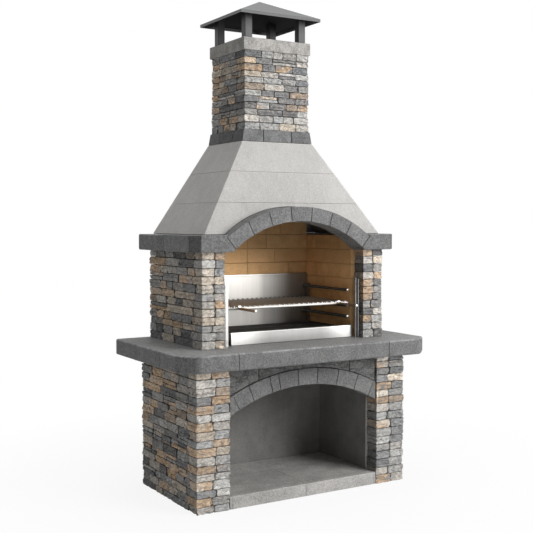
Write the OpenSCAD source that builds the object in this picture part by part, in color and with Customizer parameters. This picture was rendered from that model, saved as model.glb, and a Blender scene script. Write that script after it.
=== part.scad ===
// Masonry barbecue: stone-faced base with a storage arch, precast worktop, fire chamber with a
// firebrick lining and steel fittings, arched mantel, hollow hood, stone-faced stack and metal cap.
// Millimetres. X runs across the front, +Y to the back, +Z up. The origin lies on the ground
// under the middle of the worktop.

/* [Base] */
// Width of the base
base_w = 1370; // [1300:5:1450]
// Depth of the base
base_d = 708; // [690:1:760]
// Width of each front pillar
base_pillar_w = 201; // [160:1:240]
// Depth of the pillars' inner return before the lining starts
base_return_d = 96; // [95:1:140]
// Thickness of the base's back wall
base_back_t = 91; // [60:1:140]
// Height of the floor slab
floor_slab_h = 70; // [40:1:100]
// Distance of the floor slab behind the front of the base
floor_slab_inset = 5; // [0:1:20]
// Thickness of the smooth lining panels in the base
base_lining_t = 40; // [25:1:50]
// How far the base lining stands proud of the pillars' returns
base_lining_proud = 6; // [2:1:20]
// Number of stone courses in the base
base_courses = 17; // [12:1:20]

/* [Worktop] */
// Height of the worktop's top face above the ground
worktop_top = 850; // [800:5:950]
// Thickness of the worktop
worktop_t = 92; // [60:1:120]
// How far the worktop reaches past the base at the front
worktop_front_overhang = 109; // [60:1:150]
// How far the worktop reaches past the base on each side
worktop_side_overhang = 125; // [60:5:200]
// How far the worktop reaches past the base at the back
worktop_back_overhang = 99; // [80:1:150]
// Leg of the cut on the worktop's front corners
worktop_cut = 86; // [40:1:110]
// How far the seams beside the front slab lie outside the pillars' inner faces
worktop_seam_inset = 6; // [2:1:20]
// Depth of the corner slabs and the front slab
worktop_corner_d = 294; // [250:1:320]
// Depth of the middle side slab
worktop_side_d = 325; // [200:1:400]

/* [Lower arch] */
// Distance of the arch's crown, at its underside, below the worktop's underside
lower_arch_drop = 133; // [125:1:180]
// Radius of the arch's underside
lower_arch_r = 965; // [900:5:1200]
// Thickness of the arch ring
lower_arch_t = 93; // [60:1:100]
// Depth of the arch from front to back
lower_arch_d = 84; // [60:1:86]
// Distance of the arch behind the front of the base
lower_arch_inset = 8; // [2:1:9]
// How much further back the spandrel stones lie
spandrel_inset = 6; // [2:1:15]
// Distance of the spandrel stones' joints from the middle
spandrel_joint = 300; // [200:10:380]

/* [Fire chamber] */
// Height of the fire chamber above the worktop
chamber_h = 517; // [480:1:600]
// Distance of the chamber's front behind the front of the base
chamber_front_step = 100; // [80:1:120]
// Distance of the chamber's sides inside the sides of the base
chamber_side_step = 85; // [60:1:100]
// How far the chamber reaches past the base at the back
chamber_back_step = 76; // [60:1:78]
// Width of each chamber pillar
chamber_pillar_w = 142; // [130:1:160]
// Depth of the chamber pillars' inner return before the lining starts
chamber_return_d = 91; // [85:1:110]
// Thickness of the chamber's back wall
chamber_back_t = 67; // [50:1:90]
// Number of stone courses in the chamber walls
chamber_courses = 12; // [9:1:15]
// Thickness of the firebricks
firebrick_t = 50; // [30:1:60]
// How far the side firebricks stand proud of the pillars' returns
firebrick_proud = 23; // [10:1:30]
// Distance of the side lining's top below the mantel's top
lining_gap = 10; // [5:1:40]
// Number of firebrick rows in the side lining
firebrick_rows = 7; // [5:1:9]
// Thickness of the bricks in the top row at the back, inside the hood
throat_brick_t = 38; // [25:1:40]

/* [Mantel] */
// Thickness of the mantel slabs
mantel_t = 93; // [70:1:110]
// How far the mantel reaches past the chamber at the front
mantel_front_overhang = 46; // [30:1:60]
// How far the mantel reaches past the chamber on each side
mantel_side_overhang = 75; // [50:1:100]
// Distance of the mantel's back inside the chamber's back
mantel_back_step = 9; // [0:1:15]
// Leg of the cut on the mantel's front corners
mantel_cut = 50; // [30:1:60]
// Depth of the mantel's corner slabs along the sides
mantel_corner_d = 366; // [300:1:450]
// Height of the upper arch's crown, at its underside, above the chamber
upper_arch_rise = 165; // [145:1:200]
// Radius of the upper arch's underside
upper_arch_r = 657; // [630:1:700]
// Thickness of the upper arch ring
upper_arch_t = 83; // [60:1:100]
// Angle between two joints of the upper arch, in degrees
voussoir_angle = 11; // [10:0.5:12]
// Angle of the joint between the arch and the corner slabs, in degrees
springer_angle = 39.5; // [37:0.5:41]

/* [Hood] */
// Distance of the hood's sides inside the sides of the mantel
hood_side_step = 95; // [80:1:110]
// Distance of the hood's front behind the front of the mantel
hood_front_step = 58; // [45:1:70]
// Height of the hood
hood_h = 526; // [450:1:600]
// Width of the hood's top
hood_top_w = 470; // [466:1:540]
// Depth of the hood's top
hood_top_d = 420; // [415:1:480]
// Distance of the hood's top behind its foot's back, towards the front
hood_back_lean = 45; // [20:1:60]
// Thickness of the hood's wall at its foot
hood_wall = 50; // [40:1:55]

/* [Chimney] */
// Height of the collar of tiles
collar_h = 69; // [40:1:90]
// Distance that the collar narrows on each side up to its top
collar_lean_x = 12; // [2:1:16]
// Distance that the collar narrows at the front and back up to its top
collar_lean_y = 2; // [1:1:8]
// Distance of the stack's stones inside the collar's top
stack_step = 6.5; // [3:0.5:10]
// Height of the stone-faced stack above the collar
stack_h = 446; // [350:1:600]
// Number of stone courses in the stack
stack_courses = 12; // [9:1:16]
// Thickness of the stack's core around the flue
stack_core_t = 45; // [30:1:55]
// How far the crown slab reaches past the stack
crown_overhang = 7; // [4:0.5:20]
// Thickness of the crown slab
crown_t = 70; // [40:1:90]

/* [Cap] */
// How far the cap reaches past the crown slab
cap_overhang = 42; // [20:1:70]
// Height of the open space between crown and cap rim
cap_gap = 122; // [90:1:180]
// Height of the cap's upright rim
cap_rim_h = 17; // [10:1:30]
// Height of the cap's pyramid above the rim
cap_rise = 119; // [90:1:160]
// Thickness of the cap's sheet metal
cap_sheet = 3; // [2:0.5:5]
// Side of the square cap posts
cap_post = 45; // [30:1:50]
// Distance of the cap posts from the crown's edge
cap_post_inset = 22; // [10:1:30]

/* [Facing stones] */
// Depth of the base stones
base_stone_t = 45; // [35:1:50]
// Depth of the chamber stones
chamber_stone_t = 40; // [30:1:45]
// Depth of the stack stones
stack_stone_t = 35; // [25:1:38]
// Gap between neighbouring stones
stone_gap = 3; // [2:0.5:5]
// Most that a stone's face lies behind the wall's face
stone_recess = 5; // [1:0.5:8]
// Usual length of a stone on the sides
side_stone = 140; // [110:5:200]
// Usual length of a stone on the stack
stack_stone_w = 112; // [90:1:150]
// Shortest leg of a stone that turns a corner
corner_leg_min = 70; // [60:1:90]
// Longest leg of a stone that turns a corner
corner_leg_max = 130; // [100:1:150]
// Share by which the stones' lengths vary
length_spread = 0.35; // [0:0.05:0.5]
// Share by which the stones of every other course are longer, and those between are shorter
stagger = 0.2; // [0:0.05:0.3]
// Share by which the courses' heights vary
height_spread = 0.14; // [0:0.01:0.2]
// Share of the stones that are two thin ones, one on the other
thin_share = 0.13; // [0:0.01:0.4]
// Joint between slabs, arch stones and bricks
joint = 0.8; // [0.5:0.1:0.9]

/* [Steel fittings] */
// Distance of the back shield's sides from the side lining
shield_gap = 7; // [4:1:20]
// Height of the back shield's top edge above the worktop
shield_h = 358; // [300:1:420]
// Depth of the shield with its folded edges
shield_d = 12; // [8:1:20]
// Thickness of stainless sheet
sheet = 2; // [1:0.5:3]
// Height of the front guides
guide_h = 351; // [250:1:400]
// How far the left guide reaches from the pillar
guide_left_reach = 41; // [34:1:44]
// How far the right guide reaches from the pillar
guide_right_reach = 25; // [20:1:26]
// Diameter of the guides' rolled front edge
guide_bar = 8; // [6:1:12]
// Distance of the middle of that edge behind the front of the chamber
guide_inset = 36; // [30:1:42]
// Distance of the middle of that edge from the pillar
guide_bar_gap = 8; // [7:1:12]
// Depth of the guides from that middle to their plate
guide_d = 9; // [7:1:14]
// Thickness of the guides' plate
guide_plate = 3; // [2:0.5:5]
// Distance of each row of rungs from the side lining
rung_gap = 30; // [28:1:34]
// Diameter of the rungs
rung_dia = 17; // [10:1:18]
// Distance of the rungs' front ends behind the front of the chamber
rung_inset = 78; // [72:1:120]
// Height of the lowest rungs above the worktop
rung_low = 122; // [118:1:130]
// Height of the middle rungs above the worktop
rung_mid = 187; // [175:1:200]
// Height of the highest rungs above the worktop
rung_high = 278; // [250:1:290]
// Length of a rung's bright end cap
rung_cap = 8; // [5:1:12]
// Diameter of the studs that carry the rungs from the wall
stud_dia = 8; // [6:1:10]
// Side of the square posts that tie the rungs
frame_post = 12; // [8:1:14]
// How far those posts reach over the middle of the highest rungs
frame_post_over = 16; // [8:1:30]
// Distance of those posts in front of the shield
frame_post_gap = 24; // [18:1:30]

/* [Ember tray] */
// Distance of the tray from the left lining
tray_gap_left = 51; // [45:1:70]
// Distance of the tray from the right lining
tray_gap_right = 4; // [4:1:20]
// Distance of the tray from the back shield
tray_back_gap = 55; // [50:1:100]
// Height of the tray's fascia
fascia_h = 70; // [50:1:80]
// Thickness of the folded fascia
fascia_t = 15; // [8:1:20]
// Distance of the fascia behind the front of the chamber
fascia_inset = 70; // [66:1:76]
// Height of the pan's walls
pan_h = 42; // [25:1:46]
// Gap under and between the parts that slide
slide_gap = 0.3; // [0.3:0.1:0.6]
// Thickness of the charcoal grate
grate_t = 12; // [8:1:16]
// Width of a bar of the charcoal grate
grate_bar = 9; // [6:1:12]
// Number of slots in the charcoal grate
grate_slots = 38; // [24:1:40]

/* [Cooking grid] */
// Distance of the grid's front behind the front of the chamber
grid_inset = 84; // [80:1:110]
// Distance of the grid's back in front of the posts
grid_back_gap = 5; // [3:1:20]
// Height of the grid's frame
grid_frame_h = 12; // [8:1:16]
// Width of the grid's frame bars
grid_frame_t = 8; // [5:1:10]
// Diameter of the heavier grid bars
grid_bar = 6; // [5:0.5:8]
// Diameter of the lighter grid bars between them
grid_wire = 4; // [3:0.5:5]
// Number of heavier grid bars
grid_bars_n = 25; // [15:1:31]
// Distance of the left handle rod from the grid's side
handle_inset_left = 88; // [40:1:120]
// Distance of the right handle rod from the grid's side
handle_inset_right = 73; // [40:1:120]
// Length of the handle rods
handle_len = 176; // [120:1:220]
// Diameter of the handle rods
handle_dia = 15; // [8:1:16]
// Length of the handle rods' bright end caps
handle_cap = 8; // [5:1:12]

/* [Hidden] */
worktop_w = base_w + 2 * worktop_side_overhang;
worktop_d = worktop_front_overhang + base_d + worktop_back_overhang;
front = -worktop_d / 2;
back = worktop_d / 2;
worktop_x = worktop_w / 2;
beyond = 2 * worktop_w;
base_h = worktop_top - worktop_t;
base_x = base_w / 2;
base_front = front + worktop_front_overhang;
base_back = base_front + base_d;
base_in_x = base_x - base_pillar_w;
base_lining_x = base_in_x - base_lining_proud;
base_lining_y = base_front + base_return_d;
storage_y = base_back - base_back_t - base_lining_t;
base_core_x = base_x - base_stone_t;
worktop_seam_x = base_in_x + worktop_seam_inset;
worktop_seam_y = front + worktop_corner_d;

lower_arch_z = base_h - lower_arch_drop - lower_arch_r;
lower_arch_y = base_front + lower_arch_inset;
lower_arch_joints = [-26, -20.2, -12.9, -9.8, -2.8, 4.3, 12.2, 19.8, 26.4];
lower_arch_end = 40;

chamber_x = base_x - chamber_side_step;
chamber_front = base_front + chamber_front_step;
chamber_back = base_back + chamber_back_step;
chamber_top = worktop_top + chamber_h;
chamber_in_x = chamber_x - chamber_pillar_w;
chamber_core_x = chamber_x - chamber_stone_t;
firebox_x = chamber_in_x - firebrick_proud;
firebox_front = chamber_front + chamber_return_d;
firebox_back = chamber_back - chamber_back_t - firebrick_t;
lining_out_x = firebox_x + firebrick_t;
lining_out_y = firebox_back + firebrick_t;
lining_h = chamber_h + mantel_t - lining_gap;
back_joints = [0.69, 0.45, 0.31, 0.55];
side_joints = [[0.23, 0.7], [0.52]];

mantel_x = chamber_x + mantel_side_overhang;
mantel_front = chamber_front - mantel_front_overhang;
mantel_back = chamber_back - mantel_back_step;
mantel_top = chamber_top + mantel_t;
upper_arch_z = chamber_top + upper_arch_rise - upper_arch_r;
upper_arch_out = upper_arch_r + upper_arch_t;
upper_arch_d = firebox_front - mantel_front;

hood_tiers = 3;
hood_x = mantel_x - hood_side_step;
hood_front = mantel_front + hood_front_step;
hood_top = mantel_top + hood_h;
hood_top_back = mantel_back - hood_back_lean;
chimney_y = hood_top_back - hood_top_d / 2;

collar_top_w = hood_top_w - 2 * collar_lean_x;
collar_top_d = hood_top_d - 2 * collar_lean_y;
collar_joint_share = 0.2;
stack_w = collar_top_w - 2 * stack_step;
stack_d = collar_top_d - 2 * stack_step;
core_w = stack_w - 2 * stack_stone_t;
core_d = stack_d - 2 * stack_stone_t;
flue_w = core_w - 2 * stack_core_t;
flue_d = core_d - 2 * stack_core_t;
crown_w = stack_w + 2 * crown_overhang;
crown_d = stack_d + 2 * crown_overhang;
cap_w = crown_w + 2 * cap_overhang;
cap_d = crown_d + 2 * cap_overhang;
collar_top = hood_top + collar_h;
stack_top = tenth(collar_top + stack_h);
crown_top = stack_top + crown_t;
cap_rim_z = crown_top + cap_gap;
cap_eave_z = cap_rim_z + cap_rim_h;

hood_out = [[hood_x, hood_front, mantel_back],
            [hood_top_w / 2, hood_top_back - hood_top_d, hood_top_back]];
hood_in = [[hood_x - hood_wall, hood_front + hood_wall, mantel_back - hood_wall],
           [flue_w / 2, chimney_y - flue_d / 2, chimney_y + flue_d / 2]];

shield_y = firebox_back - shield_d;
rung_x = firebox_x - rung_gap;
rung_r = rung_dia / 2;
rung_front = chamber_front + rung_inset;
rung_len = shield_y - rung_front;
rung_levels = [rung_low, rung_mid, rung_high];
frame_post_x = rung_x + rung_r;
frame_post_y = shield_y - frame_post_gap - frame_post;
guide_bar_y = chamber_front + guide_inset;
guide_plate_y = guide_bar_y + guide_d;

tray_left = -firebox_x + tray_gap_left;
tray_right = firebox_x - tray_gap_right;
tray_front = chamber_front + fascia_inset;
tray_back = shield_y - tray_back_gap;
tray_z = worktop_top + slide_gap;
pan_z = tray_z + pan_h;
pan_left = tray_left + sheet;
pan_right = tray_right - sheet;
pan_front = tray_front + fascia_t;
grate_z = pan_z + slide_gap;

grid_x = rung_x + rung_r;
grid_front = chamber_front + grid_inset;
grid_back = frame_post_y - grid_back_gap;
grid_d = grid_back - grid_front;
grid_z = worktop_top + rung_mid + rung_r + slide_gap;
grid_top = grid_z + grid_frame_h;
grid_pitch = (grid_x - grid_frame_t) / grid_bars_n;
grid_cross = [0.33, 0.67];
handle_x = [handle_inset_left - grid_x, grid_x - handle_inset_right];
handle_z = grid_z + grid_frame_h / 2;
small = 0.01;

ledge_grey = "#8f8c87";
dark_stone = "#5d5f61";
pale_stone = "#c2c1bd";
plain_block = "#9c9b98";
smooth_grey = "#7d7c79";
brick_tan = "#bd9560";
bright_steel = "#d5d4d0";
dark_steel = "#4b4a47";
cast_black = "#33312f";
cap_grey = "#5f6163";

// A box from its lowest corner to its highest corner
module span(low, high) {
    translate(low) cube(high - low);
}

// The children on the right, or mirrored to the left
module side(left) {
    mirror([left ? 1 : 0, 0, 0]) children();
}

// Sum of the first n values of a list
function total(values, n) = n == 0 ? 0 : values[n - 1] + total(values, n - 1);

// A value rounded to a tenth of a millimetre
function tenth(value) = round(value * 10) / 10;

// Random values between two limits, rounded to a tenth
function picks(low, high, n, seed) = [for (value = rands(low, high, n, seed)) tenth(value)];

// Ends of n uneven pieces that together have the given length
function uneven(length, n, spread, seed) =
    let (weights = rands(1 - spread, 1 + spread, n, seed))
    [for (i = [0 : n]) i == n ? length : tenth(length * total(weights, i) / total(weights, n))];

// One course of straight stones along +X. Their faces lie near y = 0 and they reach back to
// y = depth. A thin stone in it has a second one on top.
module course(length, depth, height, usual, seed) {
    n = max(1, round(length / usual));
    ends = uneven(length, n, length_spread, seed);
    recess = picks(0, stone_recess, 2 * n, seed + 1);
    thin = rands(0, 1, n, seed + 2);
    for (i = [0 : n - 1]) {
        x0 = ends[i] + (i == 0 ? 0 : stone_gap / 2);
        x1 = ends[i + 1] - (i == n - 1 ? 0 : stone_gap / 2);
        lower_h = thin[i] < thin_share ? (height - stone_gap) / 2 : height;
        span([x0, recess[i], 0], [x1, depth, lower_h]);
        if (lower_h < height)
            span([x0, recess[n + i], lower_h + stone_gap], [x1, depth, height]);
    }
}

// Usual length of a stone in course i, so that the joints of neighbouring courses don't line up
function staggered(usual, i) = usual * (i % 2 == 0 ? 1 + stagger : 1 - stagger);

// A stone that turns the corner at the origin, with a leg along +X and one along +Y
module corner_stone(leg_x, leg_y, depth, height, recess) {
    span([recess, recess, 0], [leg_x, depth, height]);
    span([recess, recess, 0], [depth, leg_y, height]);
}

// Courses of a pillar with its inner return, its front and its long side, for the right wall.
// Two corner stones make up the return and the front.
module pillar_facing(in_x, out_x, y0, return_d, y1, z0, height, courses, depth, seed) {
    rows = uneven(height, courses, height_spread, seed);
    middle = (out_x - in_x) / 2;
    shift = rands(-0.2, 0.12, courses, seed + 1);
    leg = picks(corner_leg_min, corner_leg_max, courses, seed + 2);
    recess = picks(0, stone_recess, 2 * courses, seed + 3);
    for (i = [0 : courses - 1]) {
        cut = tenth(middle * (1 + shift[i]));
        z = rows[i] + (i == 0 ? 0 : stone_gap / 2);
        h = rows[i + 1] - (i == courses - 1 ? 0 : stone_gap / 2) - z;
        translate([in_x, y0, z0 + z])
            corner_stone(cut - stone_gap / 2, return_d, depth, h, recess[i]);
        translate([out_x, y0, z0 + z]) mirror([1, 0, 0])
            corner_stone(2 * middle - cut - stone_gap / 2, leg[i], depth, h, recess[courses + i]);
        translate([out_x, y0 + leg[i] + stone_gap, z0 + z]) rotate(90)
            course(y1 - y0 - leg[i] - stone_gap, depth, h, staggered(side_stone, i),
                   seed + 10 + 37 * i);
    }
}

// Plan of a wall's core behind the facing and beside the lining, for the right wall
module core_plan(front_x, lining_x, out_x, y_front, y_lining, y_back) {
    polygon([[front_x, y_front], [out_x, y_front], [out_x, y_back],
             [lining_x, y_back], [lining_x, y_lining], [front_x, y_lining]]);
}

module base_wall(left) {
    color(plain_block) side(left) linear_extrude(base_h)
        core_plan(base_in_x + base_stone_t, base_lining_x + base_lining_t, base_core_x,
                  base_front + base_stone_t, base_lining_y, base_back);
}

module base_back_wall() {
    x = base_lining_x + base_lining_t;
    color(plain_block) span([-x, storage_y + base_lining_t, 0], [x, base_back, base_h]);
}

module base_stone(left) {
    color(ledge_grey) side(left)
        pillar_facing(base_in_x, base_x, base_front, base_return_d, base_back, 0, base_h,
                      base_courses, base_stone_t, left ? 11 : 29);
}

module floor_slab() {
    color(pale_stone) linear_extrude(floor_slab_h) {
        translate([-base_in_x + joint, base_front + floor_slab_inset])
            square([2 * (base_in_x - joint), base_return_d - floor_slab_inset]);
        translate([-base_lining_x, base_front + floor_slab_inset])
            square([2 * base_lining_x, storage_y - base_front - floor_slab_inset]);
    }
}

module base_lining_side(left) {
    color(smooth_grey) side(left)
        span([base_lining_x, base_lining_y, 0],
             [base_lining_x + base_lining_t, storage_y + base_lining_t, base_h]);
}

module base_lining_back() {
    color(smooth_grey)
        span([-base_lining_x, storage_y, 0], [base_lining_x, storage_y + base_lining_t, base_h]);
}

// Wedge in the XZ plane with its point at the origin, between two angles from straight up
module wedge(a0, a1, reach, depth) {
    rotate([90, 0, 0]) translate([0, 0, -depth]) linear_extrude(depth)
        polygon([[0, 0], [reach * sin(a0), reach * cos(a0)], [reach * sin(a1), reach * cos(a1)]]);
}

// Part of an arch ring between two joints, from y = 0 to y = depth, centred on the origin
module arch_stone(r_in, r_out, a0, a1, depth) {
    gap = joint / 2 / r_in * 180 / PI;
    intersection() {
        difference() {
            rotate([-90, 0, 0]) cylinder(r = r_out, h = depth, $fn = 180);
            translate([0, -1, 0]) rotate([-90, 0, 0]) cylinder(r = r_in, h = depth + 2, $fn = 180);
        }
        wedge(a0 + gap, a1 - gap, 1.3 * r_out, depth);
    }
}

module lower_arch() {
    reach = base_in_x - joint;
    ends = concat([-lower_arch_end], lower_arch_joints, [lower_arch_end]);
    color(dark_stone) intersection() {
        translate([0, lower_arch_y, lower_arch_z])
            for (i = [0 : len(ends) - 2])
                arch_stone(lower_arch_r, lower_arch_r + lower_arch_t, ends[i], ends[i + 1],
                           lower_arch_d);
        span([-reach, base_front, 0], [reach, base_lining_y, base_h]);
    }
}

module lower_spandrels() {
    reach = base_in_x - joint;
    y0 = lower_arch_y + spandrel_inset;
    y1 = lower_arch_y + lower_arch_d;
    low = lower_arch_z + lower_arch_r;
    ends = [-reach, -spandrel_joint, spandrel_joint, reach];
    color(dark_stone) difference() {
        for (i = [0 : len(ends) - 2])
            span([ends[i] + (i == 0 ? 0 : joint / 2), y0, low - lower_arch_t],
                 [ends[i + 1] - (i == len(ends) - 2 ? 0 : joint / 2), y1, base_h]);
        translate([0, y0 - 1, lower_arch_z]) rotate([-90, 0, 0])
            cylinder(r = lower_arch_r + lower_arch_t + joint, h = y1 - y0 + 2, $fn = 180);
    }
}

module worktop_corner(left) {
    x0 = worktop_seam_x + joint / 2;
    y1 = worktop_seam_y - joint / 2;
    color(dark_stone) side(left) translate([0, 0, base_h]) linear_extrude(worktop_t)
        polygon([[x0, front], [worktop_x - worktop_cut, front], [worktop_x, front + worktop_cut],
                 [worktop_x, y1], [x0, y1]]);
}

module worktop_front() {
    x = worktop_seam_x - joint / 2;
    color(dark_stone) span([-x, front, base_h], [x, worktop_seam_y - joint / 2, worktop_top]);
}

module worktop_side(left) {
    x0 = worktop_seam_x + joint / 2;
    y1 = worktop_seam_y + worktop_side_d;
    color(dark_stone) side(left) {
        span([x0, worktop_seam_y + joint / 2, base_h], [worktop_x, y1 - joint / 2, worktop_top]);
        span([x0, y1 + joint / 2, base_h], [worktop_x, back, worktop_top]);
    }
}

module hearth_slab() {
    x = worktop_seam_x - joint / 2;
    color(dark_stone) span([-x, worktop_seam_y + joint / 2, base_h], [x, back, worktop_top]);
}

module chamber_wall(left) {
    color(plain_block) side(left) translate([0, 0, worktop_top]) linear_extrude(chamber_h)
        core_plan(chamber_in_x + chamber_stone_t, lining_out_x, chamber_core_x,
                  chamber_front + chamber_stone_t, firebox_front, chamber_back);
}

module chamber_back_wall() {
    color(plain_block) span([-lining_out_x, lining_out_y, worktop_top],
                            [lining_out_x, chamber_back, chamber_top]);
}

module chamber_stone(left) {
    color(ledge_grey) side(left)
        pillar_facing(chamber_in_x, chamber_x, chamber_front, chamber_return_d, chamber_back,
                      worktop_top, chamber_h, chamber_courses, chamber_stone_t, left ? 53 : 71);
}

// Row of bricks along +X between the given ends, from y = 0 to y = depth
module brick_row(ends, depth, height) {
    for (i = [0 : len(ends) - 2])
        translate([ends[i] + (i == 0 ? 0 : joint / 2), 0, 0])
            cube([ends[i + 1] - ends[i] - (i == 0 ? 0 : joint / 2)
                  - (i == len(ends) - 2 ? 0 : joint / 2), depth, height]);
}

// Height of the foot of firebrick row i above the worktop
function brick_z(i) = i == firebrick_rows ? lining_h : tenth(i * lining_h / firebrick_rows);

module firebrick_side(left) {
    length = lining_out_y - firebox_front;
    color(brick_tan) side(left) for (i = [0 : firebrick_rows - 1]) {
        cuts = side_joints[i % len(side_joints)];
        ends = concat([0], [for (cut = cuts) tenth(cut * length)], [length]);
        z = brick_z(i) + (i == 0 ? 0 : joint);
        translate([lining_out_x, firebox_front, worktop_top + z])
            rotate(90) brick_row(ends, firebrick_t, brick_z(i + 1) - z);
    }
}

module firebrick_back() {
    color(brick_tan) for (i = [0 : firebrick_rows]) {
        x = tenth(back_joints[i % len(back_joints)] * firebox_x);
        ends = [-firebox_x, -x, 0, x, firebox_x];
        z = brick_z(i) + (i == 0 ? 0 : joint);
        translate([0, firebox_back, worktop_top + z])
            brick_row(ends, i == firebrick_rows ? throat_brick_t : firebrick_t,
                      brick_z(i + 1) - z);
    }
}

module upper_arch_space(r, y0, y1) {
    translate([0, y0, upper_arch_z]) rotate([-90, 0, 0])
        cylinder(r = r, h = y1 - y0, $fn = 180);
}

module mantel_corner(left) {
    y1 = mantel_front + mantel_corner_d - joint / 2;
    color(dark_stone) side(left) difference() {
        translate([0, 0, chamber_top]) linear_extrude(mantel_t)
            polygon([[upper_arch_r / 3, mantel_front], [mantel_x - mantel_cut, mantel_front],
                     [mantel_x, mantel_front + mantel_cut], [mantel_x, y1], [lining_out_x, y1],
                     [lining_out_x, firebox_front], [upper_arch_r / 3, firebox_front]]);
        upper_arch_space(upper_arch_r, mantel_front - 1, firebox_front + 1);
        intersection() {
            upper_arch_space(upper_arch_out + joint, mantel_front - 1, firebox_front + 1);
            translate([0, mantel_front - 1, upper_arch_z])
                wedge(0, springer_angle, 2 * upper_arch_r, upper_arch_d + 2);
        }
    }
}

module mantel_side(left) {
    color(dark_stone) side(left)
        span([lining_out_x, mantel_front + mantel_corner_d + joint / 2, chamber_top],
             [mantel_x, mantel_back, mantel_top]);
}

module mantel_back() {
    color(dark_stone) span([-lining_out_x + joint, lining_out_y, chamber_top],
                           [lining_out_x - joint, mantel_back, mantel_top]);
}

module mantel_arch() {
    a = voussoir_angle;
    ends = concat([-springer_angle], [for (i = [-2.5 : 2.5]) i * a], [springer_angle]);
    color(dark_stone) translate([0, mantel_front, upper_arch_z])
        for (i = [0 : len(ends) - 2])
            arch_stone(upper_arch_r, upper_arch_out, ends[i], ends[i + 1], upper_arch_d);
}

// Hollow body between a foot and a top outline, each given as half width, front and back
module frustum(lines, z0, z1) {
    foot = lines[0];
    top = lines[1];
    intersection() {
        translate([0, beyond, 0]) rotate([90, 0, 0]) linear_extrude(2 * beyond)
            polygon([[-foot[0], z0], [foot[0], z0], [top[0], z1], [-top[0], z1]]);
        translate([-beyond, 0, 0]) rotate([90, 0, 90]) linear_extrude(2 * beyond)
            polygon([[foot[1], z0], [foot[2], z0], [top[2], z1], [top[1], z1]]);
    }
}

// Height of the foot of the hood's tier i
function tier_z(i) = mantel_top + (i == hood_tiers ? hood_h : tenth(hood_h * i / hood_tiers));

// One tier of the hood, open inside
module hood_tier(i) {
    color(pale_stone) intersection() {
        difference() {
            frustum(hood_out, mantel_top, hood_top);
            frustum(hood_in, mantel_top - small, hood_top + small);
            upper_arch_space(upper_arch_out + joint, mantel_front, firebox_front + joint);
        }
        span([-beyond, -beyond, tier_z(i)], [beyond, beyond, tier_z(i + 1)]);
    }
}

// Outline of a rectangle around the chimney's centre: half width, front and back
function around(w, d) = [w / 2, chimney_y - d / 2, chimney_y + d / 2];

// Upright rectangular block around the chimney's centre
module stack_block(w, d, z0, z1) {
    span([-w / 2, chimney_y - d / 2, z0], [w / 2, chimney_y + d / 2, z1]);
}

module collar_tiles() {
    z0 = hood_top;
    slope = atan2(hood_top_d, hood_top_w);
    far = hood_top_w;
    color(dark_stone) difference() {
        frustum([around(hood_top_w, hood_top_d), around(collar_top_w, collar_top_d)],
                z0, collar_top);
        stack_block(core_w, core_d, z0 - 1, collar_top + 1);
        translate([0, chimney_y, 0]) {
            for (x = [-1, 1] * collar_joint_share * hood_top_w)
                span([x - joint / 2, -far, z0 - 1], [x + joint / 2, far, collar_top + 1]);
            for (y = [-1, 1] * collar_joint_share * hood_top_d)
                span([-far, y - joint / 2, z0 - 1], [far, y + joint / 2, collar_top + 1]);
            for (a = [-slope, slope]) rotate(a)
                span([-far, -joint / 2, z0 - 1], [far, joint / 2, collar_top + 1]);
        }
    }
}

module stack_core() {
    color(plain_block) difference() {
        stack_block(core_w, core_d, hood_top, stack_top);
        stack_block(flue_w, flue_d, hood_top - 1, stack_top + 1);
    }
}

module stack_stone() {
    rows = uneven(stack_h, stack_courses, height_spread, 97);
    color(ledge_grey) translate([0, chimney_y, collar_top])
        for (i = [0 : stack_courses - 1]) {
            z = rows[i] + (i == 0 ? 0 : stone_gap / 2);
            h = rows[i + 1] - (i == stack_courses - 1 ? 0 : stone_gap / 2) - z;
            leg = picks(corner_leg_min, corner_leg_max, 8, 101 + i);
            recess = picks(0, stone_recess, 4, 131 + i);
            for (k = [0 : 3]) {
                along = k % 2 == 0 ? stack_w : stack_d;
                across = k % 2 == 0 ? stack_d : stack_w;
                start = leg[k] + stone_gap;
                rotate(90 * k) translate([-along / 2, -across / 2, z]) {
                    corner_stone(leg[k], leg[4 + k], stack_stone_t, h, recess[k]);
                    translate([start, 0, 0])
                        course(along - start - leg[4 + (k + 1) % 4] - stone_gap, stack_stone_t, h,
                               staggered(stack_stone_w, i + k), 161 + 37 * i + 7 * k);
                }
            }
        }
}

module chimney_crown() {
    color(pale_stone) difference() {
        stack_block(crown_w, crown_d, stack_top, crown_top);
        stack_block(flue_w, flue_d, stack_top - 1, crown_top + 1);
    }
}

// Pyramid over the cap's rim, lowered by a drop
module cap_pyramid(drop) {
    translate([0, 0, -drop])
        frustum([around(cap_w, cap_d), around(small, small)], cap_eave_z, cap_eave_z + cap_rise);
}

// Open space inside the cap: within the rim, and under the lowered pyramid above it
module cap_hollow(z0) {
    w = cap_w - 2 * cap_sheet;
    d = cap_d - 2 * cap_sheet;
    stack_block(w, d, z0, cap_eave_z);
    intersection() {
        cap_pyramid(cap_sheet);
        stack_block(w, d, z0, cap_eave_z + cap_rise);
    }
}

module cap_roof() {
    color(cap_grey) difference() {
        union() {
            stack_block(cap_w, cap_d, cap_rim_z, cap_eave_z);
            cap_pyramid(0);
        }
        cap_hollow(cap_rim_z - 1);
    }
}

module cap_posts() {
    x = crown_w / 2 - cap_post_inset - cap_post;
    y = crown_d / 2 - cap_post_inset - cap_post;
    color(cap_grey) intersection() {
        translate([0, chimney_y, crown_top])
            for (mx = [0, 1], my = [0, 1])
                mirror([mx, 0, 0]) mirror([0, my, 0])
                    translate([x, y, 0]) cube([cap_post, cap_post, cap_gap + cap_rise]);
        cap_hollow(crown_top);
    }
}

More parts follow.
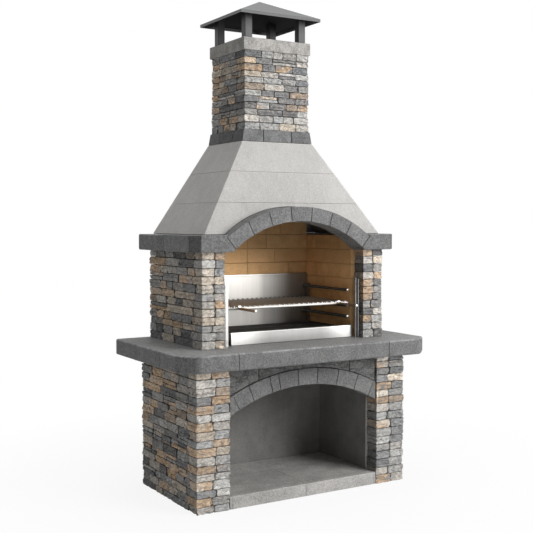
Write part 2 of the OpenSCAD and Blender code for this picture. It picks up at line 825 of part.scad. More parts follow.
module back_shield() {
    x = firebox_x - shield_gap;
    z0 = worktop_top;
    z1 = worktop_top + shield_h;
    color(bright_steel) {
        span([-x, shield_y, z0], [x, shield_y + sheet, z1]);
        span([-x, shield_y, z1 - sheet], [x, firebox_back, z1]);
        span([-x, shield_y, z0], [x, firebox_back, z0 + sheet]);
        for (m = [0, 1]) mirror([m, 0, 0])
            span([x - sheet, shield_y, z0], [x, firebox_back, z1]);
    }
}

// Front guide on the right: a plate against the pillar, a flange that runs forward from it, and
// that flange's rolled front edge
module guide(reach) {
    x = chamber_in_x - guide_bar_gap;
    z1 = worktop_top + guide_h;
    color(bright_steel) {
        span([chamber_in_x - reach, guide_plate_y, worktop_top],
             [chamber_in_x, guide_plate_y + guide_plate, z1]);
        span([x - guide_plate / 2, guide_bar_y, worktop_top],
             [x + guide_plate / 2, guide_plate_y + 1, z1 - guide_bar]);
        translate([x, guide_bar_y, worktop_top])
            cylinder(d = guide_bar, h = guide_h - guide_bar, $fn = 48);
        translate([x, guide_bar_y, z1 - guide_bar]) sphere(d = guide_bar, $fn = 48);
    }
}

module guide_left() {
    mirror([1, 0, 0]) guide(guide_left_reach);
}

module guide_right() {
    guide(guide_right_reach);
}

module frame_post_side(left) {
    color(dark_steel) side(left)
        span([frame_post_x, frame_post_y, worktop_top],
             [frame_post_x + frame_post, frame_post_y + frame_post,
              worktop_top + rung_high + frame_post_over]);
}

module rungs(left) {
    stud_y = [rung_front + 0.15 * rung_len, rung_front + 0.6 * rung_len];
    color(dark_steel) side(left) for (level = rung_levels)
        translate([rung_x, 0, worktop_top + level]) {
            translate([0, rung_front + rung_cap, 0]) rotate([-90, 0, 0])
                cylinder(d = rung_dia, h = rung_len - rung_cap, $fn = 48);
            for (y = stud_y)
                translate([0, y, 0]) rotate([0, 90, 0])
                    cylinder(d = stud_dia, h = firebox_x - rung_x, $fn = 32);
        }
}

module rung_caps(left) {
    color(bright_steel) side(left) for (level = rung_levels)
        translate([rung_x, rung_front, worktop_top + level]) rotate([-90, 0, 0])
            cylinder(d = rung_dia, h = rung_cap, $fn = 48);
}

module tray_fascia() {
    color(bright_steel) span([tray_left, tray_front, tray_z],
                             [tray_right, pan_front, tray_z + fascia_h]);
}

module tray_pan() {
    color(bright_steel) span([pan_left, pan_front, tray_z], [pan_right, tray_back, tray_z + sheet]);
}

// Four walls that stand on the pan, the front and back one between the other two
module tray_walls() {
    z0 = tray_z + sheet;
    x0 = pan_left + sheet + slide_gap;
    x1 = pan_right - sheet - slide_gap;
    color(bright_steel) {
        span([pan_left, pan_front, z0], [pan_left + sheet, tray_back, pan_z]);
        span([pan_right - sheet, pan_front, z0], [pan_right, tray_back, pan_z]);
        span([x0, pan_front, z0], [x1, pan_front + sheet, pan_z]);
        span([x0, tray_back - sheet, z0], [x1, tray_back, pan_z]);
    }
}

module charcoal_grate() {
    y0 = pan_front + slide_gap;
    length = tray_back - slide_gap - y0;
    slot_pitch = (pan_right - pan_left - grate_bar) / grate_slots;
    slot_l = (length - 4 * grate_bar) / 3;
    color(cast_black) difference() {
        span([pan_left, y0, grate_z], [pan_right, y0 + length, grate_z + grate_t]);
        for (i = [0 : grate_slots - 1], k = [0 : 2])
            translate([pan_left + grate_bar + i * slot_pitch,
                       y0 + grate_bar + k * (slot_l + grate_bar), grate_z - 1])
                cube([slot_pitch - grate_bar, slot_l, grate_t + 2]);
    }
}

module grid_frame() {
    x = grid_x - grid_frame_t;
    color(bright_steel) {
        difference() {
            span([-grid_x, grid_front, grid_z], [grid_x, grid_back, grid_top]);
            span([-x, grid_front + grid_frame_t, grid_z - 1],
                 [x, grid_back - grid_frame_t, grid_top + 1]);
        }
        for (share = grid_cross) {
            y = grid_front + share * grid_d;
            span([-x, y - grid_frame_t / 2, grid_z], [x, y + grid_frame_t / 2, grid_top]);
        }
    }
}

module grid_bars() {
    color(bright_steel) for (i = [-grid_bars_n + 1 : grid_bars_n - 1]) {
        dia = i % 2 == 0 ? grid_bar : grid_wire;
        inset = i % 2 == 0 ? 0 : grid_frame_t / 2;
        translate([i * grid_pitch, grid_front + inset, grid_top + dia / 2]) rotate([-90, 0, 0])
            cylinder(d = dia, h = grid_d - 2 * inset, $fn = 24);
    }
}

module handle_rods() {
    color(dark_steel) for (x = handle_x)
        translate([x, grid_front - handle_len, handle_z]) rotate([-90, 0, 0])
            cylinder(d = handle_dia, h = handle_len, $fn = 48);
}

module handle_caps() {
    color(bright_steel) for (x = handle_x)
        translate([x, grid_front - handle_len - handle_cap, handle_z]) rotate([-90, 0, 0])
            cylinder(d = handle_dia, h = handle_cap, $fn = 48);
}

base_wall(true);  // base_wall_left
base_wall(false);  // base_wall_right
base_back_wall();
base_stone(true);  // base_stone_left
base_stone(false);  // base_stone_right
floor_slab();
base_lining_side(true);  // base_lining_left
base_lining_side(false);  // base_lining_right
base_lining_back();
lower_arch();
lower_spandrels();
worktop_corner(true);  // worktop_corner_left
worktop_corner(false);  // worktop_corner_right
worktop_front();
worktop_side(true);  // worktop_side_left
worktop_side(false);  // worktop_side_right
hearth_slab();
chamber_wall(true);  // chamber_wall_left
chamber_wall(false);  // chamber_wall_right
chamber_back_wall();
chamber_stone(true);  // chamber_stone_left
chamber_stone(false);  // chamber_stone_right
firebrick_side(true);  // firebrick_left
firebrick_side(false);  // firebrick_right
firebrick_back();
mantel_corner(true);  // mantel_corner_left
mantel_corner(false);  // mantel_corner_right
mantel_side(true);  // mantel_side_left
mantel_side(false);  // mantel_side_right
mantel_back();
mantel_arch();
hood_tier(0);  // hood_lower
hood_tier(1);  // hood_middle
hood_tier(2);  // hood_upper
collar_tiles();
stack_core();
stack_stone();
chimney_crown();
cap_posts();
cap_roof();
back_shield();
guide_left();
guide_right();
frame_post_side(true);  // frame_post_left
frame_post_side(false);  // frame_post_right
rungs(true);  // rungs_left
rungs(false);  // rungs_right
rung_caps(true);  // rung_caps_left
rung_caps(false);  // rung_caps_right
tray_fascia();
tray_pan();
tray_walls();
charcoal_grate();
grid_frame();
grid_bars();
handle_rods();
handle_caps();
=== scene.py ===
"""Stone-faced masonry barbecue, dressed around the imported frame. Metres, in the frame's axes."""
import logging
import math
import random
from dataclasses import dataclass, replace
from enum import Enum

import bmesh
import bpy
from bpy.types import Material, Mesh, NodeSocket, Object, World
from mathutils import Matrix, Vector, noise

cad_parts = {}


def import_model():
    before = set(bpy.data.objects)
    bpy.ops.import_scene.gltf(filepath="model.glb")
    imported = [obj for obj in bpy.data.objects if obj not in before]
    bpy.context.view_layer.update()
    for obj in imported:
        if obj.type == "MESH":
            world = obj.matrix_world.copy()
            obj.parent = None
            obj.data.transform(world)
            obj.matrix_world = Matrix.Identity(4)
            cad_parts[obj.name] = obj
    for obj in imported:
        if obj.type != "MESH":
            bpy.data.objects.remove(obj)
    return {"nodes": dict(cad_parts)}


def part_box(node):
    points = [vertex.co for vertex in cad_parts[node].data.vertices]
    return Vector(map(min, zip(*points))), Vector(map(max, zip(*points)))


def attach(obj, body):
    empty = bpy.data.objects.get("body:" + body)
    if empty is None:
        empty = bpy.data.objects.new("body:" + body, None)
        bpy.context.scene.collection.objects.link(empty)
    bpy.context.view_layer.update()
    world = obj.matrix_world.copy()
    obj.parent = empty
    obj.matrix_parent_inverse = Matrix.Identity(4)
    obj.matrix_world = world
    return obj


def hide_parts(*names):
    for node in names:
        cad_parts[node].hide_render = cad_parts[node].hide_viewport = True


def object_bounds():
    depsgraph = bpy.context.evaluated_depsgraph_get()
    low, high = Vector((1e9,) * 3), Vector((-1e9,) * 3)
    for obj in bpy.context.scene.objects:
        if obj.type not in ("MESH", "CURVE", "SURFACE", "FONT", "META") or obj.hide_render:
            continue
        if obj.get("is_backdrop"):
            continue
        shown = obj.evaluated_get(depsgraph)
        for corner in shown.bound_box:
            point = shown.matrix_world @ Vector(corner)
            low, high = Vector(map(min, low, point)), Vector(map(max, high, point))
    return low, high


log = logging.getLogger("barbecue")
Colour = tuple[float, float, float]
Place = tuple[float, float, float]
Plan = tuple[float, float]
Box = tuple[Vector, Vector]
Group = list[bmesh.types.BMVert]
Column = tuple[float, Vector, Vector, float]
Nodes = dict[str, Object]
# Points closer than this are one, in metres
MERGE = 1e-5
# Edges sharper than this are bevelled or kept sharp
SOFT_ANGLE = math.radians(32)
# Neighbouring faces that turn by less than this are one
FLAT_ANGLE = math.radians(0.6)
# Metres between the noises of neighbouring pieces whose own values are 0 and 1
APART = 7.3
# A distance from the middle that lies beyond the whole barbecue, in metres
FAR = 9.0
# The ways out to the front, the right, the back and the left
AROUND = ((0, -1), (1, 0), (0, 1), (-1, 0))


class Brush(Enum):
    """Direction in which a metal face is brushed, as the stretch of its grain along the axes."""

    ACROSS = (1.5, 260.0, 260.0)
    LENGTHWAYS = (260.0, 1.5, 260.0)
    UPRIGHT = (260.0, 260.0, 1.5)
    NONE = (60.0, 60.0, 60.0)


class Wire:
    """A value that runs between a material's nodes, with Python's operators for its maths."""

    def __init__(self, recipe: "Recipe", socket: NodeSocket) -> None:
        """Wraps an output socket of the recipe's node tree."""
        self.recipe = recipe
        self.socket = socket

    def _math(self, operation: str, first: "Wire | float", second: "Wire | float") -> "Wire":
        """Result of a Math node with that operation and those two values."""
        return self.recipe.add("ShaderNodeMath", {0: first, 1: second}, operation=operation)

    def __add__(self, other: "Wire | float") -> "Wire":
        """Sum of two values."""
        return self._math("ADD", self, other)

    def __radd__(self, other: float) -> "Wire":
        """Sum with a plain number in front."""
        return self._math("ADD", other, self)

    def __sub__(self, other: "Wire | float") -> "Wire":
        """Difference of two values."""
        return self._math("SUBTRACT", self, other)

    def __rsub__(self, other: float) -> "Wire":
        """Difference from a plain number."""
        return self._math("SUBTRACT", other, self)

    def __mul__(self, other: "Wire | float") -> "Wire":
        """Product of two values."""
        return self._math("MULTIPLY", self, other)

    def __rmul__(self, other: float) -> "Wire":
        """Product with a plain number in front."""
        return self._math("MULTIPLY", other, self)

    def __pow__(self, other: float) -> "Wire":
        """Power of a value."""
        return self._math("POWER", self, other)

    def above(self, edge: float, width: float) -> "Wire":
        """Soft step from 0 to 1, half done at the edge."""
        ends = {"Value": self, "From Min": edge - width / 2, "From Max": edge + width / 2}
        return self.recipe.add("ShaderNodeMapRange", ends, interpolation_type="SMOOTHSTEP")


class Recipe:
    """The nodes of one material or world."""

    def __init__(self, owner: Material | World) -> None:
        """Starts with an empty tree."""
        owner.use_nodes = True
        self.owner = owner
        self.tree = owner.node_tree
        self.tree.nodes.clear()
        self.place = self.add("ShaderNodeTexCoord", out="Object")
        self.slope: Wire | None = None

    @classmethod
    def named(cls, name: str) -> "Recipe":
        """Starts a new material with that name."""
        return cls(bpy.data.materials.new(name))

    def add(self, kind: str, inputs: dict | None = None, out: int | str = 0,
            **settings) -> Wire | None:
        """Adds a node.

        Args:
            kind: The node's type.
            inputs: Values or wires for its input sockets, by name or number.
            out: Name or number of the output that is returned.
            **settings: The node's own settings.

        Returns:
            The chosen output, if the node has any.
        """
        node = self.tree.nodes.new(kind)
        for name, value in settings.items():
            setattr(node, name, value)
        for name, value in (inputs or {}).items():
            if isinstance(value, Wire):
                self.tree.links.new(value.socket, node.inputs[name])
            else:
                node.inputs[name].default_value = value
        return Wire(self, node.outputs[out]) if len(node.outputs) else None

    def part(self, vector: Wire, axis: int) -> Wire:
        """A vector's coordinate along an axis, 0 to 2."""
        return self.add("ShaderNodeSeparateXYZ", {0: vector}, out=axis)

    def noise(self, scale: Place, shift: Wire | None = None, detail: float = 4.0,
              roughness: float = 0.55) -> Wire:
        """Noise around 0.5.

        Args:
            scale: Cycles per metre along each axis.
            shift: A value that moves the pattern, so that neighbours differ.
            detail: Number of octaves.
            roughness: Weight of each octave against the one before.

        Returns:
            The noise as a value from 0 to 1.
        """
        spot = self.place
        if self.slope:
            x, y, z = (self.part(spot, axis) for axis in range(3))
            spot = self.add("ShaderNodeCombineXYZ", {0: x, 1: y, 2: z + (x + y) * self.slope})
        if shift:
            spot = self.add("ShaderNodeVectorMath", {0: spot, 1: shift * APART}, operation="ADD")
        spot = self.add("ShaderNodeVectorMath", {0: spot, 1: scale}, operation="MULTIPLY")
        return self.add("ShaderNodeTexNoise", {"Vector": spot, "Scale": 1.0, "Detail": detail,
                                               "Roughness": roughness})

    def cells(self, scale: float) -> Wire:
        """Distance to the nearest of scattered points, so many to a metre."""
        return self.add("ShaderNodeTexVoronoi", {"Vector": self.place, "Scale": scale},
                        out="Distance")

    def seen(self) -> Wire:
        """1 for a ray from the camera or from a reflection, and 0 for one that only lights."""
        rays = [self.add("ShaderNodeLightPath", out=f"Is {ray} Ray")
                for ray in ("Camera", "Glossy", "Transmission")]
        return rays[0] + rays[1] + rays[2]

    def facing(self, axis: int) -> Wire:
        """How far the surface faces along an axis, from -1 to 1."""
        return self.part(self.add("ShaderNodeNewGeometry", out="True Normal"), axis)

    def window(self, axis: int, low: float, high: float, width: float) -> Wire:
        """1 between two places along an axis and 0 outside them, with soft steps of a width."""
        spot = self.part(self.place, axis)
        return spot.above(low, width) * (1.0 - spot.above(high, width))

    def attribute(self, name: str, out: str = "Fac") -> Wire:
        """Value or colour that a mesh carries at its points, by name."""
        return self.add("ShaderNodeAttribute", out=out, attribute_name=name)

    def mixed(self, share: Wire | float, first: Wire | Colour, second: Wire | Colour,
              how: str = "MIX") -> Wire:
        """Two colours mixed by the share of the second, in the way of a blend type."""
        ends = [value if isinstance(value, Wire) else (*value, 1.0) for value in (first, second)]
        return self.add("ShaderNodeMix", {0: share, 6: ends[0], 7: ends[1]}, out=2,
                        data_type="RGBA", blend_type=how)

    def lit(self, colour: Wire | Colour, value: Wire) -> Wire:
        """A colour made lighter or darker by a factor."""
        return self.mixed(1.0, colour, value, "MULTIPLY")

    def bump(self, height: Wire, depth: float, strength: float) -> Wire:
        """Normal from a height of 0 to 1, where 1 stands for a depth in metres."""
        return self.add(
            "ShaderNodeBump", {"Height": height, "Distance": depth, "Strength": strength})

    def done(self, colour: Wire | Colour, roughness: Wire | float, normal: Wire | None = None,
             **plain: float) -> Material:
        """Adds the shader and the output.

        Args:
            colour: Base colour.
            roughness: Roughness.
            normal: Normal, if the surface has relief.
            **plain: Other sockets' plain numbers, with underscores for spaces.

        Returns:
            The material.
        """
        inputs = {"Base Color": colour if isinstance(colour, Wire) else (*colour, 1.0),
                  "Roughness": roughness}
        if normal:
            inputs["Normal"] = normal
        inputs.update({name.replace("_", " "): value for name, value in plain.items()})
        shader = self.add("ShaderNodeBsdfPrincipled", inputs)
        self.add("ShaderNodeOutputMaterial", {"Surface": shader})
        return self.owner


@dataclass(frozen=True)
class LedgeFinish:
    """Split natural stone: each stone has its own colour, with streaks and stains, and painted
    shade in its creases, on its facets and on its sides.
    """

    name: str = "split_ledge_stone"
    stain: Colour = (0.66, 0.455, 0.285)
    rust: Colour = (0.46, 0.28, 0.16)
    grain: float = 0.0034
    bedding: float = 1.3

    def make(self) -> Material:
        """Builds the material."""
        recipe = Recipe.named(self.name)
        tint = recipe.attribute("stone_tint", "Color")
        shift = recipe.attribute("stone_shift")
        stained = recipe.attribute("stone_stain")
        crease = recipe.attribute("stone_crease")
        shade = recipe.attribute("stone_shade")
        recipe.slope = (shift - 0.5) * self.bedding
        cloud = recipe.noise((24.0, 24.0, 38.0), shift, 5.0, 0.62)
        streak = recipe.noise((22.0, 22.0, 150.0), shift, 5.0, 0.65)
        fine = recipe.noise((190.0, 190.0, 280.0), shift, 4.0, 0.7)
        chip = recipe.noise((75.0, 75.0, 110.0), shift, 4.0, 0.7)
        # Painted light and shade: each facet lighter or darker by its slant, and faces to the sides
        # darker
        colour = recipe.lit(
            tint, -0.74 + cloud * 0.9 + streak * 0.8 + fine * 0.75 + chip * 0.9 + shade * 0.46)
        patch = recipe.noise((13.0, 13.0, 26.0), shift, 4.0, 0.6) + (cloud - 0.5) * 0.35
        colour = recipe.mixed((patch + stained * 0.5).above(0.93, 0.16) * 0.7, colour,
                              recipe.lit(self.stain, fine + streak + 0.1))
        vein = recipe.noise((30.0, 30.0, 190.0), shift, 3.0, 0.5)
        colour = recipe.mixed((vein + stained * 0.14).above(0.80, 0.05) * 0.5, colour, self.rust)
        crack = recipe.noise((26.0, 26.0, 85.0), shift, 4.0, 0.6)
        groove = 1.0 - ((crack - 0.5) ** 2.0).above(0.0006, 0.0011)
        # Painted shade in the creases; the grooves are dark crack lines
        colour = recipe.lit(colour, (1.0 - crease * 0.6) * (1.0 - groove * 0.36))
        height = (fine * 0.5 + streak * 1.1 - groove * 0.5 + chip * 0.8
                  + recipe.noise((70.0, 70.0, 170.0), shift, 5.0, 0.65))
        return recipe.done(colour, 0.86 + cloud * 0.1, recipe.bump(height, self.grain, 0.9),
                           Specular_IOR_Level=0.25)


@dataclass(frozen=True)
class CastFinish:
    """Cast concrete or fired clay: an even colour with clouds, grain, pores and hairlines."""

    name: str
    colour: Colour
    cloud: float = 0.12
    cloud_scale: float = 7.0
    streak: float = 0.0
    speckle: float = 0.2
    speckle_scale: float = 105.0
    pores: float = 0.3
    pore_scale: float = 120.0
    cracks: float = 0.0
    solid_spread: float = 0.08
    courses: tuple[float, float] = (0.0, 0.0)
    course_axis: int = 2
    course_start: float = 0.02
    course_shift: float = 0.5
    mortar: float = 0.0045
    warm: Colour = (0.0, 0.0, 0.0)
    warm_share: float = 0.0
    roughness: float = 0.88
    specular: float = 0.2
    # Lightens faces that look up: painted top light, with wear
    top_light_and_wear: float = 0.0
    # Lightens edges that slope upwards: painted highlight, with wear
    edge_highlight_and_wear: float = 0.0
    # Painted shade on faces that look down
    foot: float = 0.0
    # Painted shade on faces that look out diagonally, such as chamfers
    painted_chamfer_shade: float = 0.0
    # Painted shade on faces that look to the sides
    painted_side_shade: float = 0.0
    # Painted light in front of a place along Y: its place and how much lighter
    painted_lit_rim: tuple[float, float] = (0.0, 0.0)
    # Darkening above a height: its start, its soft width and its share; soot and painted shade
    soot_and_shade: tuple[float, float, float] = (FAR, 0.1, 0.0)
    grain: float = 0.0012

    def make(self) -> Material:
        """Builds the material."""
        recipe = Recipe.named(self.name)
        # The cast surface: clouds, grains of sand, fine grit and pores
        shift = recipe.attribute("solid_tint")
        cloud = recipe.noise((self.cloud_scale,) * 3, shift, 5.0, 0.6).above(0.5, 0.36)
        speckle = recipe.noise((self.speckle_scale,) * 3, shift, 3.0, 0.75).above(0.5, 0.3)
        fine = recipe.noise((340.0,) * 3, shift, 2.0, 0.7).above(0.5, 0.4)
        pore = 1.0 - recipe.cells(self.pore_scale).above(0.15, 0.12)
        level = (1.0 + (cloud - 0.5) * self.cloud * 2 + (speckle - 0.5) * self.speckle
                 + (fine - 0.5) * self.speckle * 0.7 + (shift - 0.5) * self.solid_spread * 2)
        if self.streak:
            run = recipe.noise((34.0, 34.0, 2.2), shift, 4.0, 0.6).above(0.5, 0.4)
            level = level + (run - 0.5) * self.streak
        colour = recipe.lit(self.colour, level - pore * self.pores * 0.5)
        height = speckle * 0.5 + fine * 0.25 - pore * 0.9
        if self.courses[0]:
            spots = recipe.part(recipe.place, 0) + self.course_start
            rows = recipe.part(recipe.place, self.course_axis)
            flat = recipe.add("ShaderNodeCombineXYZ", {0: spots, 1: rows})
            joint = recipe.add("ShaderNodeTexBrick",
                               {"Vector": flat, "Scale": 1.0, "Mortar Size": self.mortar,
                                "Mortar Smooth": 0.4, "Brick Width": self.courses[0],
                                "Row Height": self.courses[1]}, out="Fac",
                               offset=self.course_shift)
            colour = recipe.lit(colour, 1.0 - joint * (0.1 + cloud * 0.16))
            height = height - joint * 2.4
        if self.cracks:
            vein = recipe.noise((9.0, 9.0, 20.0), shift, 6.0, 0.62) - 0.5
            line = 1.0 - (vein ** 2.0).above(0.0004, 0.0008)
            colour = recipe.lit(colour, 1.0 - line * self.cracks)
            height = height - line * 1.2 + recipe.noise((30.0, 30.0, 70.0), shift, 5.0, 0.6)
        if self.warm_share:
            patch = recipe.noise((5.0, 5.0, 9.0), shift, 4.0, 0.6)
            colour = recipe.mixed(patch.above(0.55, 0.3) * self.warm_share, colour, self.warm)
        colour, rough = self.weathered(recipe, colour, cloud)
        return recipe.done(colour, rough, recipe.bump(height, self.grain, 0.9),
                           Specular_IOR_Level=self.specular)

    def weathered(self, recipe: Recipe, colour: Wire, cloud: Wire) -> tuple[Wire, Wire]:
        """Adds soot, wear and painted light and shade, by a face's place and the way that it looks.

        Args:
            recipe: The material's recipe.
            colour: The clean colour.
            cloud: The clouds that soot, painted shade and wear follow.

        Returns:
            The colour and the roughness.
        """
        # Soot and painted shade: darker above a height
        if self.soot_and_shade[2]:
            start, width, share = self.soot_and_shade
            colour = recipe.lit(
                colour, 1.0 - recipe.window(2, start, FAR, width) * (0.7 + cloud * 0.6) * share)
        rough = self.roughness - 0.04 + cloud * 0.08
        # Painted top light, with wear: faces that look up are lighter and smoother
        if self.top_light_and_wear:
            top = recipe.facing(2).above(0.75, 0.3)
            colour = recipe.lit(colour, 1.0 + top * self.top_light_and_wear)
            rough = rough - top * 0.2
        # Painted highlight, with wear, on edges that slope upwards
        if self.edge_highlight_and_wear:
            rise = recipe.facing(2)
            edge = rise.above(0.3, 0.3) * (1.0 - rise.above(0.92, 0.1))
            colour = recipe.lit(colour, 1.0 + edge * (0.4 + cloud) * self.edge_highlight_and_wear)
        # Painted shade: faces that look down are darkened
        if self.foot:
            down = (0.0 - recipe.facing(2)).above(0.2, 0.3)
            colour = recipe.lit(colour, 1.0 - down * self.foot)
        # Painted shade: faces that look to the sides are darkened
        if self.painted_side_shade:
            colour = recipe.lit(colour, 1.0 - recipe.facing(0) ** 2.0 * self.painted_side_shade)
        # Painted light: the part in front of a place along Y is lightened
        if self.painted_lit_rim[1]:
            rim = recipe.window(1, -FAR, self.painted_lit_rim[0], 0.0006)
            colour = recipe.lit(colour, 1.0 + rim * self.painted_lit_rim[1])
        # Painted shade: diagonal faces such as chamfers are darkened
        if self.painted_chamfer_shade:
            skew = (recipe.facing(0) * recipe.facing(1)) ** 2.0
            colour = recipe.lit(colour, 1.0 - skew * 4.0 * self.painted_chamfer_shade)
        return colour, rough


@dataclass(frozen=True)
class MetalFinish:
    """Bare or coated metal with a brushed grain."""

    name: str
    colour: Colour
    roughness: float = 0.28
    metallic: float = 1.0
    brush: Brush = Brush.ACROSS
    smear: float = 0.1
    grain: float = 0.00006
    cloud: float = 0.12
    specular: float = 0.5
    # Faces that look down are made nearly black: soot and painted shade
    sooty_shaded_underside: bool = False
    # Painted highlights: outside this span along Y the colour turns to the lighter tip colour
    highlight_tips: tuple[float, float] = (0.0, 0.0)
    tip_highlight: Colour = (0.8, 0.79, 0.77)
    streaks: float = 0.0
    # Painted shade on faces that look to the sides
    painted_side_shade: float = 0.0
    # Painted light and shade in bands: axis, ends, soft width and share; a negative share lightens
    painted_light_bands: tuple[tuple[int, float, float, float, float], ...] = ()

    def make(self) -> Material:
        """Builds the material."""
        recipe = Recipe.named(self.name)
        lines = recipe.noise(self.brush.value, None, 3.0, 0.6)
        cloud = recipe.noise((5.0, 5.0, 5.0), None, 4.0, 0.55)
        colour = recipe.lit(
            self.colour, 1.0 - self.cloud + cloud * self.cloud * 1.3 + lines * self.cloud * 0.7)
        rough = self.roughness - self.smear / 2 + cloud * self.smear + lines * self.smear * 0.6
        if self.streaks:
            run = recipe.noise((46.0, 46.0, 0.9), None, 3.0, 0.6).above(0.5, 0.45)
            colour = recipe.lit(colour, 1.0 - self.streaks / 2 + run * self.streaks)
        # Painted light and shade in bands along an axis
        for axis, low, high, width, share in self.painted_light_bands:
            colour = recipe.lit(colour, 1.0 - recipe.window(axis, low, high, width) * share)
        # Painted shade: faces that look to the sides are darkened
        if self.painted_side_shade:
            colour = recipe.lit(colour, 1.0 - recipe.facing(0) ** 2.0 * self.painted_side_shade)
        # Soot and painted shade: faces that look down are nearly black and rough
        if self.sooty_shaded_underside:
            soot_and_shade = recipe.facing(2).above(-0.35, 0.3)
            colour = recipe.mixed(soot_and_shade, (0.010, 0.010, 0.010), colour)
            rough = 0.95 - soot_and_shade * (0.95 - rough)
        # Painted highlights at the ends along Y, which are also smoother
        if self.highlight_tips[1]:
            inner = recipe.window(1, *self.highlight_tips, 0.006)
            colour = recipe.mixed(inner, self.tip_highlight, colour)
            rough = rough - (1.0 - inner) * 0.15
        return recipe.done(colour, rough, recipe.bump(lines, self.grain, 0.7),
                           Metallic=self.metallic, Specular_IOR_Level=self.specular)


@dataclass(frozen=True)
class IronFinish:
    """Cast iron with ash dust in its hollows."""

    name: str = "grate_iron"
    colour: Colour = (0.052, 0.050, 0.047)
    ash: Colour = (0.2, 0.19, 0.178)

    def make(self) -> Material:
        """Builds the material."""
        recipe = Recipe.named(self.name)
        patch = recipe.noise((22.0,) * 3, None, 6.0, 0.65)
        fine = recipe.noise((380.0,) * 3, None, 3.0, 0.6)
        colour = recipe.mixed(
            patch.above(0.6, 0.25) * 0.6, recipe.lit(self.colour, 0.6 + fine), self.ash)
        return recipe.done(colour, 0.55 + patch * 0.3, recipe.bump(fine + patch, 0.0007, 0.8),
                           Metallic=0.4)


class Form:
    """Points and faces of a piece while it is built, with the values that its points carry."""

    def __init__(self) -> None:
        """Starts empty."""
        self.points: list[Place] = []
        self.faces: list[tuple[int, ...]] = []
        self.soft: list[bool] = []
        self.values: dict[str, list] = {}

    def add(self, points: list[Place], faces: list[tuple[int, ...]], soft: list[bool],
            **values: list | float | Colour) -> None:
        """Adds a closed form.

        Args:
            points: Its points.
            faces: Its faces, as numbers into those points.
            soft: Whether each face is shaded smoothly.
            **values: A value for all of the points, or a list with one for each.
        """
        start = len(self.points)
        self.points += points
        self.faces += [tuple(start + i for i in face) for face in faces]
        self.soft += soft
        for name, value in values.items():
            many = value if isinstance(value, list) else [value] * len(points)
            self.values.setdefault(name, []).extend(many)

    def extrude(self, outline: list[Plan], low: float, high: float) -> None:
        """Adds a form with the same outline in Y and Z all along X.

        Args:
            outline: The outline, counterclockwise as seen from +X.
            low: Its left end.
            high: Its right end.
        """
        count = len(outline)
        points = [(x, y, z) for x in (low, high) for y, z in outline]
        faces = [tuple(reversed(range(count))), tuple(range(count, 2 * count))]
        for i in range(count):
            after = (i + 1) % count
            faces.append((i, after, after + count, i + count))
        self.add(points, faces, [False, False] + [True] * count)

    def turn(self, profile: list[Plan], start: Vector, sides: int = 28) -> None:
        """Adds a form turned around an axis that points to the front.

        Args:
            profile: Distance along the axis and radius, end to end, with radius 0 at both ends.
            start: Point on the axis where the distance is 0.
            sides: Number of sides.
        """
        ahead = Vector((0, 0, 1)).rotation_difference(Vector((0, -1, 0))).to_matrix()
        spots = [Vector((radius * math.cos(angle), radius * math.sin(angle), distance))
                 for distance, radius in profile[1:-1]
                 for angle in (2 * math.pi * i / sides for i in range(sides))]
        spots += [Vector((0, 0, profile[end][0])) for end in (0, -1)]
        points = [tuple(start + ahead @ spot) for spot in spots]
        first, last = len(points) - 2, len(points) - 1
        faces: list[tuple[int, ...]] = []
        for a in range(0, first - sides, sides):
            faces += [(a + i, a + (i + 1) % sides, a + (i + 1) % sides + sides, a + i + sides)
                      for i in range(sides)]
        top = first - sides
        for i in range(sides):
            after = (i + 1) % sides
            faces += [(after, i, first), (top + i, top + after, last)]
        self.add(points, faces, [True] * len(faces))

    def mesh(self, name: str, sharp: bool = False) -> Mesh:
        """Makes the mesh.

        Args:
            name: Its name.
            sharp: Whether its sharp edges stay sharp.

        Returns:
            The mesh.
        """
        mesh = bpy.data.meshes.new(name)
        mesh.from_pydata(self.points, [], self.faces)
        mesh.polygons.foreach_set("use_smooth", self.soft)
        for title, values in self.values.items():
            if isinstance(values[0], tuple):
                layer = mesh.attributes.new(title, "FLOAT_COLOR", "POINT")
                layer.data.foreach_set("color", [c for v in values for c in (*v, 1.0)])
            else:
                layer = mesh.attributes.new(title, "FLOAT", "POINT")
                layer.data.foreach_set("value", values)
        mesh.validate()
        if sharp:
            mesh.set_sharp_from_angle(angle=SOFT_ANGLE)
        return mesh


def placed(name: str, data: bpy.types.ID, place: Place = (0.0, 0.0, 0.0)) -> Object:
    """Links a new object to the scene.

    Args:
        name: Its name.
        data: Its mesh, lamp or camera.
        place: Where it stands.

    Returns:
        The object.
    """
    item = bpy.data.objects.new(name, data)
    item.location = place
    bpy.context.scene.collection.objects.link(item)
    return item


def show(name: str, mesh: Mesh, finish: Material, body: str, slot: str,
         *nodes: str) -> None:
    """Puts a piece in the scene.

    Args:
        name: The piece's name.
        mesh: Its mesh.
        finish: Its material.
        body: The body that it rides on.
        slot: Not used.
        *nodes: The nodes that it stands for.
    """
    piece = placed(name, mesh)
    mesh.materials.clear()
    mesh.materials.append(finish)
    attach(piece, body)
    if nodes:
        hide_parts(*nodes)
    log.info("%s: %d faces on %s", name, len(mesh.polygons), body)


def merged(node: Object) -> bmesh.types.BMesh:
    """A node's mesh with its split points joined and its flat faces whole.

    Args:
        node: The node's object.

    Returns:
        The mesh, to be freed by the caller.
    """
    shape = bmesh.new()
    shape.from_mesh(node.data)
    bmesh.ops.remove_doubles(shape, verts=shape.verts, dist=MERGE)
    bmesh.ops.dissolve_limit(
        shape, angle_limit=FLAT_ANGLE, verts=shape.verts, edges=shape.edges, delimit={"NORMAL"})
    return shape


